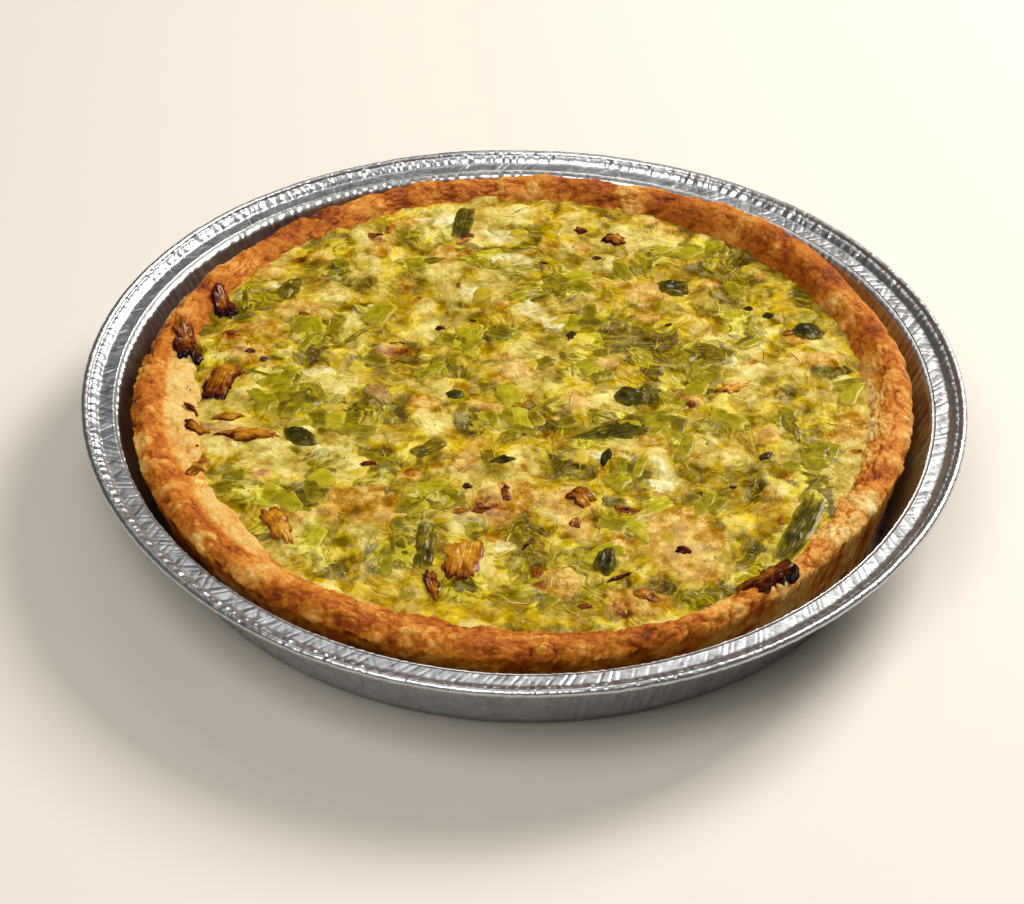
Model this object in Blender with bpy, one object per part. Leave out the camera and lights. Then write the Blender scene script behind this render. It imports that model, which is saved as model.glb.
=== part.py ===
"""A baked leek quiche standing in its own foil tin.

Metres, +Z up.  The origin is below the middle of the tin's rim, on the surface
that the tin stands on.  The tin is a turned shell with a rim squeezed slightly
out of round, the pastry is a cup with a thick uneven rim, the filling is a
solid set inside that cup, and every leek, onion or mushroom piece of about a
berry's size lies on top as a thin solid of its own.
"""
import math
import bpy
import bmesh

MM = 0.001
GAP = 0.35 * MM                 # clearance between pieces that touch

# Foil tin: outside diameter 240 mm, just over 30 mm tall
SIDES = 80                      # facets round the tin, the pastry and the filling
BEAD = (118.8 * MM, 28.7 * MM)  # radius and height of the rolled bead's centre
BEAD_RADIUS = 1.2 * MM
CREASE_RADIUS = 114.9 * MM      # where the lip rises from the flat ledge
LEDGE_RADIUS = 111.1 * MM       # inner edge of the flat ledge
LEDGE_HEIGHT = 27.4 * MM
BASE_RADIUS = 101.4 * MM
LOBES = 1.1 * MM                # the rim bulges this far at 30, 150 and 270 degrees
SETBACK = 1.1 * MM              # shift along +Y that centres the bulging rim
FOIL = 0.35 * MM                # wall thickness, heavier than kitchen foil

# Pastry: outer radius at the rim, height of the crest
PASTRY_RADIUS = 104.4 * MM
PASTRY_BASE_RADIUS = 99.0 * MM
PASTRY_TOP = 31.0 * MM
PASTRY_FLOOR = 3.4 * MM         # thickness of the pastry under the filling

# Filling: level where it meets the pastry, and its slight rise to the middle
FILLING_RADIUS = 93.6 * MM
FILLING_EDGE = 27.5 * MM
FILLING_RISE = 0.6 * MM

# The rim isn't even: direction in degrees, spread in degrees, change of radius
# and change of height in millimetres
RIM_FORM = (
    (46, 21, 1.4, 3.2),         # tall shoulder, away to the right
    (8, 15, 1.4, 1.5),          # slumped outwards at the right
    (322, 15, -1.6, -0.5),      # pulled in and chipped at the near right
    (268, 36, 3.6, -0.5),       # pushed out against the tin in front
    (226, 16, 1.6, 0.0),
    (204, 14, 1.8, 0.3),        # small fold at the left
    (186, 10, 1.0, 0.0),
    (135, 25, -1.1, -0.4),
)

# The filling bulges too: direction, spread, extra radius in millimetres
FILL_FORM = ((288, 26, 5.0), (232, 20, 2.0))


def new_object(name, verts, faces, colour, roughness, metallic=0.0):
    """Mesh object with its own material, smooth shaded."""
    mesh = bpy.data.meshes.new(name)
    mesh.from_pydata([(x, y + SETBACK, z) for x, y, z in verts], [], faces)
    bm = bmesh.new()
    bm.from_mesh(mesh)
    bmesh.ops.recalc_face_normals(bm, faces=bm.faces)
    bm.to_mesh(mesh)
    bm.free()
    mesh.shade_smooth()
    mesh.set_sharp_from_angle(angle=math.radians(40))
    obj = bpy.data.objects.new(name, mesh)
    bpy.context.scene.collection.objects.link(obj)
    mat = bpy.data.materials.new(name)
    mat.use_nodes = True
    shader = mat.node_tree.nodes["Principled BSDF"]
    shader.inputs["Base Color"].default_value = (*colour, 1.0)
    shader.inputs["Roughness"].default_value = roughness
    shader.inputs["Metallic"].default_value = metallic
    mesh.materials.append(mat)
    return obj


def turned(rings, sides):
    """Vertices and faces of a closed body from rings listed pole to pole.

    Each ring is a function of the direction that gives (radius, height).  The
    first and last rings are single points on the axis.
    """
    verts = []
    for ring in rings[1:-1]:
        for i in range(sides):
            a = 2 * math.pi * i / sides
            r, z = ring(a)
            verts.append((r * math.cos(a), r * math.sin(a), z))
    first = len(verts)
    verts.append((0.0, 0.0, rings[0](0.0)[1]))
    verts.append((0.0, 0.0, rings[-1](0.0)[1]))
    faces = []
    count = len(rings) - 2
    for i in range(sides):
        j = (i + 1) % sides
        faces.append((first, j, i))
        for k in range(count - 1):
            a, b = k * sides, (k + 1) * sides
            faces.append((a + i, a + j, b + j, b + i))
        top = (count - 1) * sides
        faces.append((top + i, top + j, first + 1))
    return verts, faces


def fixed(radius, height):
    """A ring that is the same in every direction."""
    return lambda a: (radius, height)


def tin_ring(radius, height):
    """A ring of the tin: round at the base, with three lobes at the rim."""
    reach = LOBES * min(height / LEDGE_HEIGHT, 1.0)
    return lambda a: (radius + reach * math.sin(3 * a), height)


def foil_tin():
    """Flat base, flared wall, narrow ledge, raised lip and rolled bead."""
    rb, zb = BEAD
    rings = [fixed(0.0, 0.0)]
    rings.append(fixed(BASE_RADIUS - 1.3 * MM, 0.0))
    rings.append(fixed(BASE_RADIUS, 0.9 * MM))
    slope = (LEDGE_RADIUS - BASE_RADIUS) / (LEDGE_HEIGHT - 0.9 * MM)
    for z in (9 * MM, 18 * MM, LEDGE_HEIGHT - 1.0 * MM):
        rings.append(tin_ring(BASE_RADIUS + slope * (z - 0.9 * MM), z))
    rings.append(tin_ring(LEDGE_RADIUS + 0.5 * MM, LEDGE_HEIGHT - FOIL))
    rings.append(tin_ring(CREASE_RADIUS + 0.1 * MM, LEDGE_HEIGHT - FOIL))
    for deg in (215, 265, 315, 0, 45, 90, 135, 180):
        t = math.radians(deg)
        rings.append(tin_ring(rb + BEAD_RADIUS * math.cos(t),
                              zb + BEAD_RADIUS * math.sin(t)))
    rings.append(tin_ring(CREASE_RADIUS, LEDGE_HEIGHT))
    rings.append(tin_ring(LEDGE_RADIUS, LEDGE_HEIGHT))
    for z in (LEDGE_HEIGHT - 1.2 * MM, 18 * MM, 9 * MM, 1.3 * MM):
        rings.append(tin_ring(BASE_RADIUS + slope * (z - 0.9 * MM) - FOIL, z))
    rings.append(fixed(BASE_RADIUS - 1.6 * MM, FOIL))
    rings.append(fixed(0.0, FOIL))
    verts, faces = turned(rings, SIDES)
    new_object("foil_tin", verts, faces, (0.80, 0.81, 0.83), 0.25, 1.0)


def bell(a, deg, spread):
    """Bell curve round the rim: 1 at a direction in degrees, less beside it."""
    off = (math.degrees(a) - deg + 180) % 360 - 180
    return math.exp(-(off / spread) ** 2)


def rim_form(a):
    """Outer radius and crest height of the pastry in one direction."""
    radius, top = PASTRY_RADIUS, PASTRY_TOP
    for deg, spread, out, up in RIM_FORM:
        radius += out * bell(a, deg, spread) * MM
        top += up * bell(a, deg, spread) * MM
    ripple = 0.25 * math.sin(9 * a + 1.0) + 0.2 * math.sin(14 * a)
    return radius + 0.5 * ripple * MM, top + ripple * MM


def fill_radius(a):
    """Radius of the line where the filling meets the pastry."""
    wave = 0.5 * math.cos(2 * a + 2.6) + 0.4 * math.sin(5 * a)
    wave += sum(out * bell(a, deg, spread) for deg, spread, out in FILL_FORM)
    return FILLING_RADIUS + wave * MM


def filling_height(x, y):
    r = math.hypot(x, y) / FILLING_RADIUS
    return FILLING_EDGE + FILLING_RISE * (1 - r * r)


def rim_profile(s):
    """Share of the crest's height, from the filling (0) to the outside (1)."""
    if s < 0.62:
        return 1 - (1 - s / 0.62) ** 2.0
    return 1 - 0.85 * ((s - 0.62) / 0.38) ** 2.4


def rim_height(a, s):
    return FILLING_EDGE + (rim_form(a)[1] - FILLING_EDGE) * rim_profile(s)


def rim_ring(s):
    def ring(a):
        r0, r1 = fill_radius(a), rim_form(a)[0]
        return r0 + (r1 - r0) * s, rim_height(a, s)
    return ring


def wall_ring(share):
    """Outer wall between the base corner (0) and the rim's shoulder (1)."""
    def ring(a):
        r1, z1 = rim_form(a)[0], rim_height(a, 1.0)
        r0, z0 = PASTRY_BASE_RADIUS, FOIL + GAP + 1.4 * MM
        return r0 + (r1 - r0) * share, z0 + (z1 - z0) * share
    return ring


def inner_ring(offset, height):
    return lambda a: (fill_radius(a) + offset, height)


def pastry():
    """Cup of pastry: flat floor, leaning wall, thick rounded rim."""
    low = FOIL + GAP
    rings = [fixed(0.0, low), fixed(PASTRY_BASE_RADIUS - 1.6 * MM, low)]
    rings += [wall_ring(t) for t in (0.0, 0.35, 0.7)]
    rings += [rim_ring(s) for s in (1.0, 0.93, 0.8, 0.62, 0.42, 0.24, 0.1, 0.0)]
    rings.append(inner_ring(0.8 * MM, 22 * MM))
    rings.append(inner_ring(0.0, 7 * MM))
    rings.append(inner_ring(-3.6 * MM, low + PASTRY_FLOOR))
    rings.append(fixed(0.0, low + PASTRY_FLOOR))
    verts, faces = turned(rings, SIDES)
    new_object("pastry", verts, faces, (0.62, 0.33, 0.12), 0.6)


def filling():
    """Set custard, level with the foot of the rim, slightly risen."""
    low = FOIL + GAP + PASTRY_FLOOR + GAP
    rings = [fixed(0.0, low), inner_ring(-3.8 * MM, low)]
    rings.append(inner_ring(-0.45 * MM, 7 * MM))
    rings.append(inner_ring(0.35 * MM, 22 * MM))
    rings.append(inner_ring(-GAP, FILLING_EDGE))
    for share in (0.86, 0.68, 0.46, 0.23):
        r = FILLING_RADIUS * share
        rings.append(fixed(r, filling_height(r, 0.0)))
    rings.append(fixed(0.0, filling_height(0.0, 0.0)))
    verts, faces = turned(rings, SIDES)
    new_object("filling", verts, faces, (0.62, 0.50, 0.08), 0.45)


def under_height(x, y):
    """Height of the food's surface under a topping."""
    z = filling_height(x, y)
    r, a = math.hypot(x, y), math.atan2(y, x) % (2 * math.pi)
    r0, r1 = fill_radius(a), rim_form(a)[0]
    if r > r0 - 1.0 * MM:
        s = min(max((r - r0) / (r1 - r0), 0.0), 0.62)
        z = max(z, rim_height(a, s)) + 0.3 * MM
    return z


def outline(kind, t):
    """Outline of a topping as a share of its half length and half width."""
    c, s = math.cos(t), math.sin(t)
    if kind == "tile":
        k = (abs(c) ** 7 + abs(s) ** 7) ** (1 / 7)
        return c / k, s / k
    if kind == "hex":
        k = math.cos((t + math.pi / 6) % (math.pi / 3) - math.pi / 6)
        return c / k * 0.95, s / k * 0.95
    if kind == "leaf":
        return c, s * (1 - 0.55 * abs(c) ** 1.5)
    if kind == "wedge":
        return c, s * (0.75 - 0.25 * c)
    k = 1 + 0.09 * math.sin(3 * t + 0.7) + 0.05 * math.sin(5 * t)
    return c * k, s * k


def topping(name, kind, place, size, turn, thick, colour, arch=0.0, curl=0.0,
            points=12, roughness=0.4):
    """A thin closed piece that follows the food under it.

    place, size and thick are in millimetres.  arch raises the middle along the
    length and curl raises the two long edges, both in millimetres.
    """
    cx, cy = place[0] * MM, place[1] * MM
    ct, st = math.cos(math.radians(turn)), math.sin(math.radians(turn))

    def rows(upper):
        out = []
        for share in (1.0, 0.55):
            for i in range(points):
                u, v = outline(kind, 2 * math.pi * (i + 0.5) / points)
                out.append((u * share, v * share))
        out.append((0.0, 0.0))
        verts = []
        for u, v in out:
            x = cx + 0.5 * MM * (size[0] * u * ct - size[1] * v * st)
            y = cy + 0.5 * MM * (size[0] * u * st + size[1] * v * ct)
            z = under_height(x, y) + GAP
            z += (arch * (1 - u * u) + curl * v * v) * MM
            if upper:
                z += thick * (1 - 0.3 * (u * u + v * v) ** 2) * MM
            verts.append((x, y, z))
        return verts

    verts = rows(False) + rows(True)
    n, half = points, 2 * points + 1
    faces = []
    for i in range(n):
        j = (i + 1) % n
        faces.append((j, i, half + i, half + j))
        faces.append((i, j, n + j, n + i))
        faces.append((n + i, n + j, 2 * n))
        faces.append((half + j, half + i, half + n + i, half + n + j))
        faces.append((half + n + j, half + n + i, half + 2 * n))
    new_object(name, verts, faces, colour, roughness)


CHAR = (0.030, 0.014, 0.012)
PLUM = (0.075, 0.025, 0.022)
DARK_LEEK = (0.030, 0.050, 0.018)
GREEN_LEEK = (0.12, 0.17, 0.02)
OLIVE_LEEK = (0.15, 0.15, 0.03)
SOFT_LEEK = (0.33, 0.36, 0.05)
AMBER = (0.38, 0.17, 0.02)
CARAMEL = (0.40, 0.20, 0.05)
PALE = (0.66, 0.52, 0.22)
MUSHROOM = (0.30, 0.22, 0.12)


def toppings():
    """Every piece of about a berry's size, from the far side to the near."""
    t = topping
    t("leek_tile_back", "tile", (-19.5, 80), (17, 5.6), 84, 1.0, OLIVE_LEEK)
    t("mushroom_bit", "blob", (25, 72.5), (6.5, 5), -10, 1.6, PLUM, points=10)
    t("leek_ribbon_back", "leaf", (47, 65.5), (25, 4.6), 4, 0.7, GREEN_LEEK)
    t("leek_crescent", "leaf", (-29, 59.3), (11, 3.6), 14, 0.8, GREEN_LEEK)
    t("leek_hex_back", "hex", (42, 48.8), (10.5, 10), 12, 1.2, DARK_LEEK)
    t("leek_soft_back", "blob", (8.5, 49), (11, 15), 20, 0.6, SOFT_LEEK)
    t("leek_ring_left", "blob", (-67.5, 44.2), (12, 7), 75, 0.8, GREEN_LEEK)
    t("onion_char_back", "wedge", (-85.6, 34.5), (15, 6), 113, 1.6, CHAR)
    t("leek_hex_right", "hex", (79.3, 28.8), (10.5, 9.5), -20, 1.3, DARK_LEEK)
    t("leek_thread", "leaf", (-47.5, 21.5), (18, 1.9), 49, 0.8, OLIVE_LEEK,
      points=10)
    t("leek_round_right", "blob", (49.8, 16.2), (13, 13.5), 0, 0.6, OLIVE_LEEK)
    t("onion_char_side", "wedge", (-93.2, 14.5), (18.5, 6.2), 108, 1.7, PLUM)
    t("onion_amber", "tile", (-82, -0.8), (15.5, 7.6), 76, 1.8, AMBER, arch=0.8)
    t("onion_fan", "wedge", (57, 1.8), (10.5, 6), 32, 0.7, PALE, points=10)
    t("leek_dark_middle", "blob", (28.8, -3.6), (9.5, 7.5), -8, 1.5, DARK_LEEK)
    t("mushroom_slice", "blob", (-39.4, -4.6), (11, 6.4), -54, 1.4, MUSHROOM)
    t("leek_small_middle", "hex", (-18.6, -4.4), (5.8, 4.6), 8, 0.9, DARK_LEEK,
      points=6)
    t("leek_wide_left", "tile", (-61.5, -7.5), (19, 12), 30, 0.6, SOFT_LEEK)
    t("leek_strip_right", "leaf", (71.3, -14.5), (12, 4.4), -72, 0.7,
      GREEN_LEEK)
    t("leek_leaf_long", "leaf", (27.5, -17.6), (33, 8.6), 17, 0.9, DARK_LEEK)
    t("onion_strip_top", "leaf", (-78.6, -16.9), (8, 3), 14, 1.1, CARAMEL,
      points=8)
    t("onion_strip_left", "wedge", (-86.2, -22.8), (7.5, 4.8), -25, 1.2,
      CARAMEL, points=10)
    t("onion_strip_long", "leaf", (-72.6, -24), (17, 5), 3, 1.3, CARAMEL,
      arch=0.6)
    t("leek_almond", "leaf", (-58.8, -24), (12.4, 6.6), -38, 1.2, DARK_LEEK,
      arch=0.6)
    t("leek_tile_olive", "tile", (-24.6, -27.6), (10.8, 5), 40, 1.0, OLIVE_LEEK)
    t("onion_chip", "tile", (15.4, -46.8), (8, 5.6), -50, 0.9, PLUM, curl=1.2)
    t("leek_wide_near", "blob", (-55.5, -48.5), (13, 9), 25, 0.6, SOFT_LEEK)
    t("leek_leaf_side", "leaf", (71, -56.6), (29, 9.4), 68, 0.8, DARK_LEEK)
    t("onion_curl", "wedge", (-61.2, -60.4), (16, 8.6), -62, 1.6, PALE,
      arch=0.8)
    t("leek_stalk_near", "tile", (-23.8, -66.6), (18, 5.2), 88, 0.9, GREEN_LEEK)
    t("leek_block_near", "tile", (-14.4, -72), (15, 8.8), 85, 1.0, AMBER)
    t("leek_folded", "blob", (21.4, -71.2), (9.4, 6), 82, 1.7, DARK_LEEK)
    t("onion_shallot", "wedge", (62.6, -77), (14, 7.4), 212, 2.0, CHAR)
    t("onion_root", "wedge", (-21.4, -81.2), (11, 4.8), -74, 1.3, PLUM)


def main():
    for obj in list(bpy.data.objects):
        bpy.data.objects.remove(obj, do_unlink=True)
    foil_tin()
    pastry()
    filling()
    toppings()


main()
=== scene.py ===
"""The looks of a baked leek quiche in its own crimped foil tin.

All lengths in the shape functions are millimetres; they turn to metres only
when a mesh is made.  Directions round the quiche are measured from +X towards
+Y, in degrees in the tables and in radians where a function calls them a.
"""
import math
import bpy
import numpy as np
from mathutils import Matrix, Vector


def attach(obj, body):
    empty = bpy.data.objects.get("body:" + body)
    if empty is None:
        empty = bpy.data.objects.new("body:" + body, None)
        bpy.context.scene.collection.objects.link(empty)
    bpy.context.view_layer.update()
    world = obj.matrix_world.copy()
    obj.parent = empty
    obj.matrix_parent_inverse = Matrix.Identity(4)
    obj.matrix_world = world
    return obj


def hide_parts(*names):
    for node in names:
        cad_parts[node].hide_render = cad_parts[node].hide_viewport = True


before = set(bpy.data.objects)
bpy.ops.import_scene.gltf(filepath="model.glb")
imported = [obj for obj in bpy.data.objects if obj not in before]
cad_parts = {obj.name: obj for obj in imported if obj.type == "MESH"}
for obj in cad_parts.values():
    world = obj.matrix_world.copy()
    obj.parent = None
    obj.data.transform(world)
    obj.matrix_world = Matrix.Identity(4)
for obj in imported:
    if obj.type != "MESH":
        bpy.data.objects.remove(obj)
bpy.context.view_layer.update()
MM = 0.001
TURN = 2 * np.pi

# Sizes shared with the solids, in millimetres
BEAD_R, BEAD_Z, BEAD_W = 118.8, 28.7, 1.2
CREASE_R, LEDGE_R, LEDGE_Z, BASE_R = 114.9, 111.1, 27.4, 101.4
LOBES, SETBACK = 1.1, 1.1
PASTRY_R, PASTRY_BASE_R, PASTRY_TOP = 104.4, 99.0, 31.0
FILL_R, FILL_EDGE, FILL_RISE = 93.6, 27.5, 0.6

# Further sizes of the visible shapes, in millimetres
FOLD_R = 115                     # radius at which the foil's folds are spaced
LEDGE_MID = 113                  # radius round which the ledge's folds slant
CUP_BASE, CUP_FLOOR = 0.75, 4.2  # levels under and inside the pastry cup
FOLD_PIVOT = 97                  # radius round which the pastry's folds lean
CREST = 0.62                     # share of the pastry rim's width at its crest
CEILING = 34.15                  # no pastry stands higher
TUCK = 3.9                       # how far the filling runs in under the pastry
CUSTARD_FLOOR = 20               # level of the filling's flat underside
SCRAP_ROOT = 1.6                 # how far scraps reach down into the filling
STRAND_REACH = 91                # how far out the fibres may lie

# Swells of the pastry rim: direction, spread, outwards, upwards
RIM_FORM = ((46, 21, 1.4, 3.2), (8, 15, 1.4, 1.5), (322, 15, -1.6, -0.5),
            (268, 36, 3.6, -0.5), (226, 16, 1.6, 0.0), (204, 14, 1.8, 0.3),
            (186, 10, 1.0, 0.0), (135, 25, -1.1, -0.4))
# Folds pressed into the pastry: direction, spread, depth, lean
FOLDS = ((203, 1.1, 0.9, 0.5), (66, 1.8, 0.7, 0.8), (40, 1.4, 0.6, -0.7),
         (16, 1.8, 0.6, 0.6), (128, 1.3, 0.5, -0.5), (251, 1.3, 0.5, 0.6),
         (157, 1.4, 0.6, 0.5), (337, 1.2, 0.5, -0.6), (289, 1.0, 0.5, 0.5))
# Rows of direction, spread and strength: how far the filling runs outwards,
# where each kind of crust lies, and where it is browner (+) or paler (-)
FILL_FORM = ((288, 26, 5.0), (232, 20, 2.0))
PALE_BAND = ((187, 13, 1.0), (219, 11, 0.4))
WORMY = ((316, 26, 1.0), (350, 16, 0.5))
FLAKY = ((268, 42, 1.0), (185, 40, 0.6))
SMOOTH = ((42, 34, 1.0),)
FLUTED = ((92, 24, 1.0),)
BAKED_SIDES = ((262, 40, 0.02), (90, 40, 0.07), (20, 40, 0.02),
               (320, 30, -0.16), (350, 20, -0.08))
# On the crest: darker towards 22 degrees, and paler towards 50 degrees, a painted highlight.
CREST_TONE_AND_HIGHLIGHT = ((22, 18, 0.12), (50, 24, -0.06))
# On the inside: darker towards 45 degrees, painted shade on the inner face; paler towards 2
# and 88 degrees.
INSIDE_TONE_AND_SHADE = ((45, 25, 0.16), (2, 26, -0.14), (88, 36, -0.12))
PALE_RIGHT = ((346, 20, -0.14),)
BROWN_FRONT = ((262, 45, 0.08),)


# ---------------------------------------------------------------- camera

def set_camera():
    """The viewing angle: about 39 degrees above the table, from 0.7 m."""
    data = bpy.data.cameras.new("camera")
    data.sensor_width = 36.0
    data.lens = 87.89
    data.clip_start = 0.05
    cam = bpy.data.objects.new("camera", data)
    bpy.context.scene.collection.objects.link(cam)
    tilt, swing, roll = (math.radians(v) for v in (38.75, 0.55, 1.04))
    away, target = 0.702, Vector((-3.1, 6.3 + SETBACK, 0.0)) * MM
    side = math.cos(tilt)
    cam.location = target + away * Vector((
        math.sin(swing) * side, -math.cos(swing) * side, math.sin(tilt)))
    turn = (Matrix.Rotation(swing, 3, "Z")
            @ Matrix.Rotation(math.radians(90) - tilt, 3, "X")
            @ Matrix.Rotation(roll, 3, "Z"))
    cam.rotation_euler = turn.to_euler("XYZ")
    bpy.context.scene.camera = cam


set_camera()


# ---------------------------------------------------------------- numbers

def lattice(ix, iy, iz, seed):
    """A fixed pseudo-random number from 0 to 1 for each lattice corner."""
    h = ix.astype(np.int64).astype(np.uint32) * np.uint32(374761393)
    h += iy.astype(np.int64).astype(np.uint32) * np.uint32(668265263)
    h += iz.astype(np.int64).astype(np.uint32) * np.uint32(2246822519)
    h += np.uint32((seed * 3266489917) & 0xFFFFFFFF)
    h ^= h >> np.uint32(15)
    h *= np.uint32(2246822519)
    h ^= h >> np.uint32(13)
    h *= np.uint32(3266489917)
    h ^= h >> np.uint32(16)
    return h.astype(np.float64) / 4294967295.0


def clouds(x, y, z, size, seed, octaves=1, gain=0.5):
    """Smooth noise from -1 to 1: lattice numbers eased between corners.

    Each further octave halves the size and is gain times as strong.
    """
    total, weight, norm = 0.0, 1.0, 0.0
    for k in range(octaves):
        s = size / 2.0 ** k
        px, py, pz = x / s, y / s, z / s
        ix, iy, iz = np.floor(px), np.floor(py), np.floor(pz)
        fx, fy, fz = px - ix, py - iy, pz - iz
        ux, uy, uz = (f * f * (3 - 2 * f) for f in (fx, fy, fz))
        value = 0.0
        for dx in (0, 1):
            for dy in (0, 1):
                for dz in (0, 1):
                    w = ((ux if dx else 1 - ux) * (uy if dy else 1 - uy)
                         * (uz if dz else 1 - uz))
                    value = value + w * lattice(ix + dx, iy + dy, iz + dz,
                                                seed + 17 * k)
        total = total + weight * (2 * value - 1)
        norm += weight
        weight *= gain
    return total / norm


def ring_clouds(a, reach, z, size, seed, octaves=1):
    """Noise read along a circle of that reach, so that it closes on itself."""
    return clouds(np.cos(a) * reach + 0 * z, np.sin(a) * reach + 0 * z,
                  z + 0 * a, size, seed, octaves)


def pebbles(x, y, z, size, seed):
    """Cells round scattered points: distance to the nearest, how much nearer
    it is than the next one (0 in the creases), and a number for each cell."""
    px, py, pz = x / size, y / size, z / size
    ix, iy, iz = np.floor(px), np.floor(py), np.floor(pz)
    near = np.full(np.shape(px), 9.0)
    second = near.copy()
    name = np.zeros(np.shape(px))
    for dx in (-1, 0, 1):
        for dy in (-1, 0, 1):
            for dz in (-1, 0, 1):
                cx, cy, cz = ix + dx, iy + dy, iz + dz
                qx = cx + lattice(cx, cy, cz, seed)
                qy = cy + lattice(cx, cy, cz, seed + 1)
                qz = cz + lattice(cx, cy, cz, seed + 2)
                d = np.sqrt((px - qx) ** 2 + (py - qy) ** 2 + (pz - qz) ** 2)
                closer = d < near
                second = np.where(closer, near, np.minimum(second, d))
                name = np.where(closer, lattice(cx, cy, cz, seed + 3), name)
                near = np.where(closer, d, near)
    return near, second - near, name


def ease(v, low, high):
    """0 below low, 1 above high, smooth between."""
    t = np.clip((v - low) / (high - low), 0, 1)
    return t * t * (3 - 2 * t)


def bump_at(a, deg, spread):
    """Bell curve round the rim, centred on a direction in degrees."""
    off = (np.degrees(a) - deg + 180) % 360 - 180
    return np.exp(-(off / spread) ** 2)


def bumps(a, rows):
    """Sum of bell curves round the rim: direction, spread and strength."""
    return sum(strength * bump_at(a, deg, spread) for deg, spread, strength in rows)


# ---------------------------------------------------------------- meshes

def grid_faces(nu, nv, wrap_u=False, wrap_v=False):
    """Quads of a grid whose vertex (i, j) is number i * nv + j."""
    i = np.arange(nu if wrap_u else nu - 1)
    j = np.arange(nv if wrap_v else nv - 1)
    i, j = np.meshgrid(i, j, indexing="ij")
    i, j = i.ravel(), j.ravel()
    i1, j1 = (i + 1) % nu, (j + 1) % nv
    return np.stack([i * nv + j, i1 * nv + j, i1 * nv + j1, i * nv + j1], 1)


def pole_fans(nu, nv):
    """Triangles that close both ends of a ring grid on the two points that
    follow it."""
    i = np.arange(nu)
    i1 = (i + 1) % nu
    start, end = np.full(nu, nu * nv), np.full(nu, nu * nv + 1)
    return [np.stack([i1 * nv, i * nv, start], 1),
            np.stack([i * nv + nv - 1, i1 * nv + nv - 1, end], 1)]


def ring_angles(nu):
    """Directions of the nu steps round a ring, as a column."""
    return (np.arange(nu) / nu * TURN)[:, None]


def ring_mesh(a, r, z):
    """Points from direction, radius and height arrays of shape (nu, nv)."""
    return np.stack([r * np.cos(a), r * np.sin(a), z], -1)


def make_piece(name, points, faces, material, notes=None, uv=None,
               replaces=()):
    """A smooth mesh from points (mm) and arrays of faces, riding on the root.

    notes are per-vertex numbers that the material reads by name.  uv holds a
    pair for each vertex.
    """
    mesh = bpy.data.meshes.new(name)
    corners = np.concatenate([np.asarray(f, np.int32).ravel() for f in faces])
    sizes = np.concatenate([np.full(len(f), np.shape(f)[1]) for f in faces])
    mesh.vertices.add(len(points))
    placed = np.asarray(points) + [0, SETBACK, 0]
    mesh.vertices.foreach_set("co", (placed * MM).ravel())
    mesh.loops.add(len(corners))
    mesh.loops.foreach_set("vertex_index", corners)
    mesh.polygons.add(len(sizes))
    starts = np.concatenate([[0], np.cumsum(sizes)[:-1]]).astype(np.int32)
    mesh.polygons.foreach_set("loop_start", starts)
    mesh.update(calc_edges=True)
    mesh.validate()
    mesh.shade_smooth()
    for key, values in (notes or {}).items():
        layer = mesh.attributes.new(key, "FLOAT", "POINT")
        layer.data.foreach_set("value", np.asarray(values, np.float32).ravel())
    if uv is not None:
        layer = mesh.uv_layers.new(name="grain")
        layer.data.foreach_set("uv", np.asarray(uv)[corners].ravel())
    obj = bpy.data.objects.new(name, mesh)
    bpy.context.scene.collection.objects.link(obj)
    mesh.materials.append(material)
    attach(obj, "root")
    if replaces:
        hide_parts(*replaces)
    return obj


# ---------------------------------------------------------------- materials

def colour(code):
    """An sRGB hex value as linear red, green, blue and alpha."""
    parts = [int(code[i:i + 2], 16) / 255 for i in (1, 3, 5)]
    return (*[c / 12.92 if c < 0.04045 else ((c + 0.055) / 1.055) ** 2.4
              for c in parts], 1.0)


def plug(tree, made, inputs):
    """Sets a node's inputs, or links them to sockets or other nodes; of a
    node it takes the first output in use."""
    for key, value in inputs.items():
        if isinstance(value, bpy.types.Node):
            value = next(out for out in value.outputs if out.enabled)
        if isinstance(value, bpy.types.NodeSocket):
            tree.links.new(value, made.inputs[key])
        else:
            made.inputs[key].default_value = value


def node(tree, kind, inputs=None, stops=(), **settings):
    """Adds a node with its settings, inputs and colour stops."""
    made = tree.nodes.new("ShaderNode" + kind)
    for key, value in settings.items():
        setattr(made, key, value)
    plug(tree, made, inputs or {})
    marks = made.color_ramp.elements if stops else ()
    while len(marks) < len(stops):
        marks.new(0.5)
    for mark, (at, code) in zip(marks, stops):
        mark.position = at
        mark.color = colour(code)
    return made


def new_material(name):
    """A new material, with its node tree and its shader."""
    mat = bpy.data.materials.new(name)
    mat.use_nodes = True
    return mat, mat.node_tree, mat.node_tree.nodes["Principled BSDF"]


def position(tree):
    """Object coordinates in millimetres."""
    place = node(tree, "TexCoord").outputs["Object"]
    return node(tree, "Mapping", {"Vector": place, "Scale": (1 / MM,) * 3})


def swayed(tree, total, rows):
    """A value with patterns added, each brought from one range to another."""
    for source, low, high, start, end in rows:
        shift = node(tree, "MapRange", {
            "Value": source, "From Min": low, "From Max": high,
            "To Min": start, "To Max": end})
        total = node(tree, "Math", {0: total, 1: shift}, operation="ADD")
    return total


# ---------------------------------------------------------------- finishes

def aluminium_foil():
    """Bright rolled foil, pressed: a soft mirror, cloudy in tint and gloss,
    with a fine grit."""
    mat, tree, shader = new_material("bright_rolled_foil")
    at = position(tree)
    smear, grit = (
        node(tree, "TexNoise", {"Vector": at, "Scale": scale, "Detail": detail,
                                "Roughness": rough})
        for scale, detail, rough in ((0.35, 3.0, 0.6), (2.2, 4.0, 0.65)))
    plug(tree, shader, {
        "Base Color": node(tree, "ValToRGB", {"Fac": smear},
                           ((0.3, "#AAACB0"), (0.7, "#C8CACE"))),
        "Roughness": node(tree, "MapRange", {
            "Value": smear, "To Min": 0.24, "To Max": 0.4}),
        "Normal": node(tree, "Bump", {
            "Height": grit, "Strength": 0.12, "Distance": 0.00015}),
        "Metallic": 1.0})
    return mat


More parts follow.
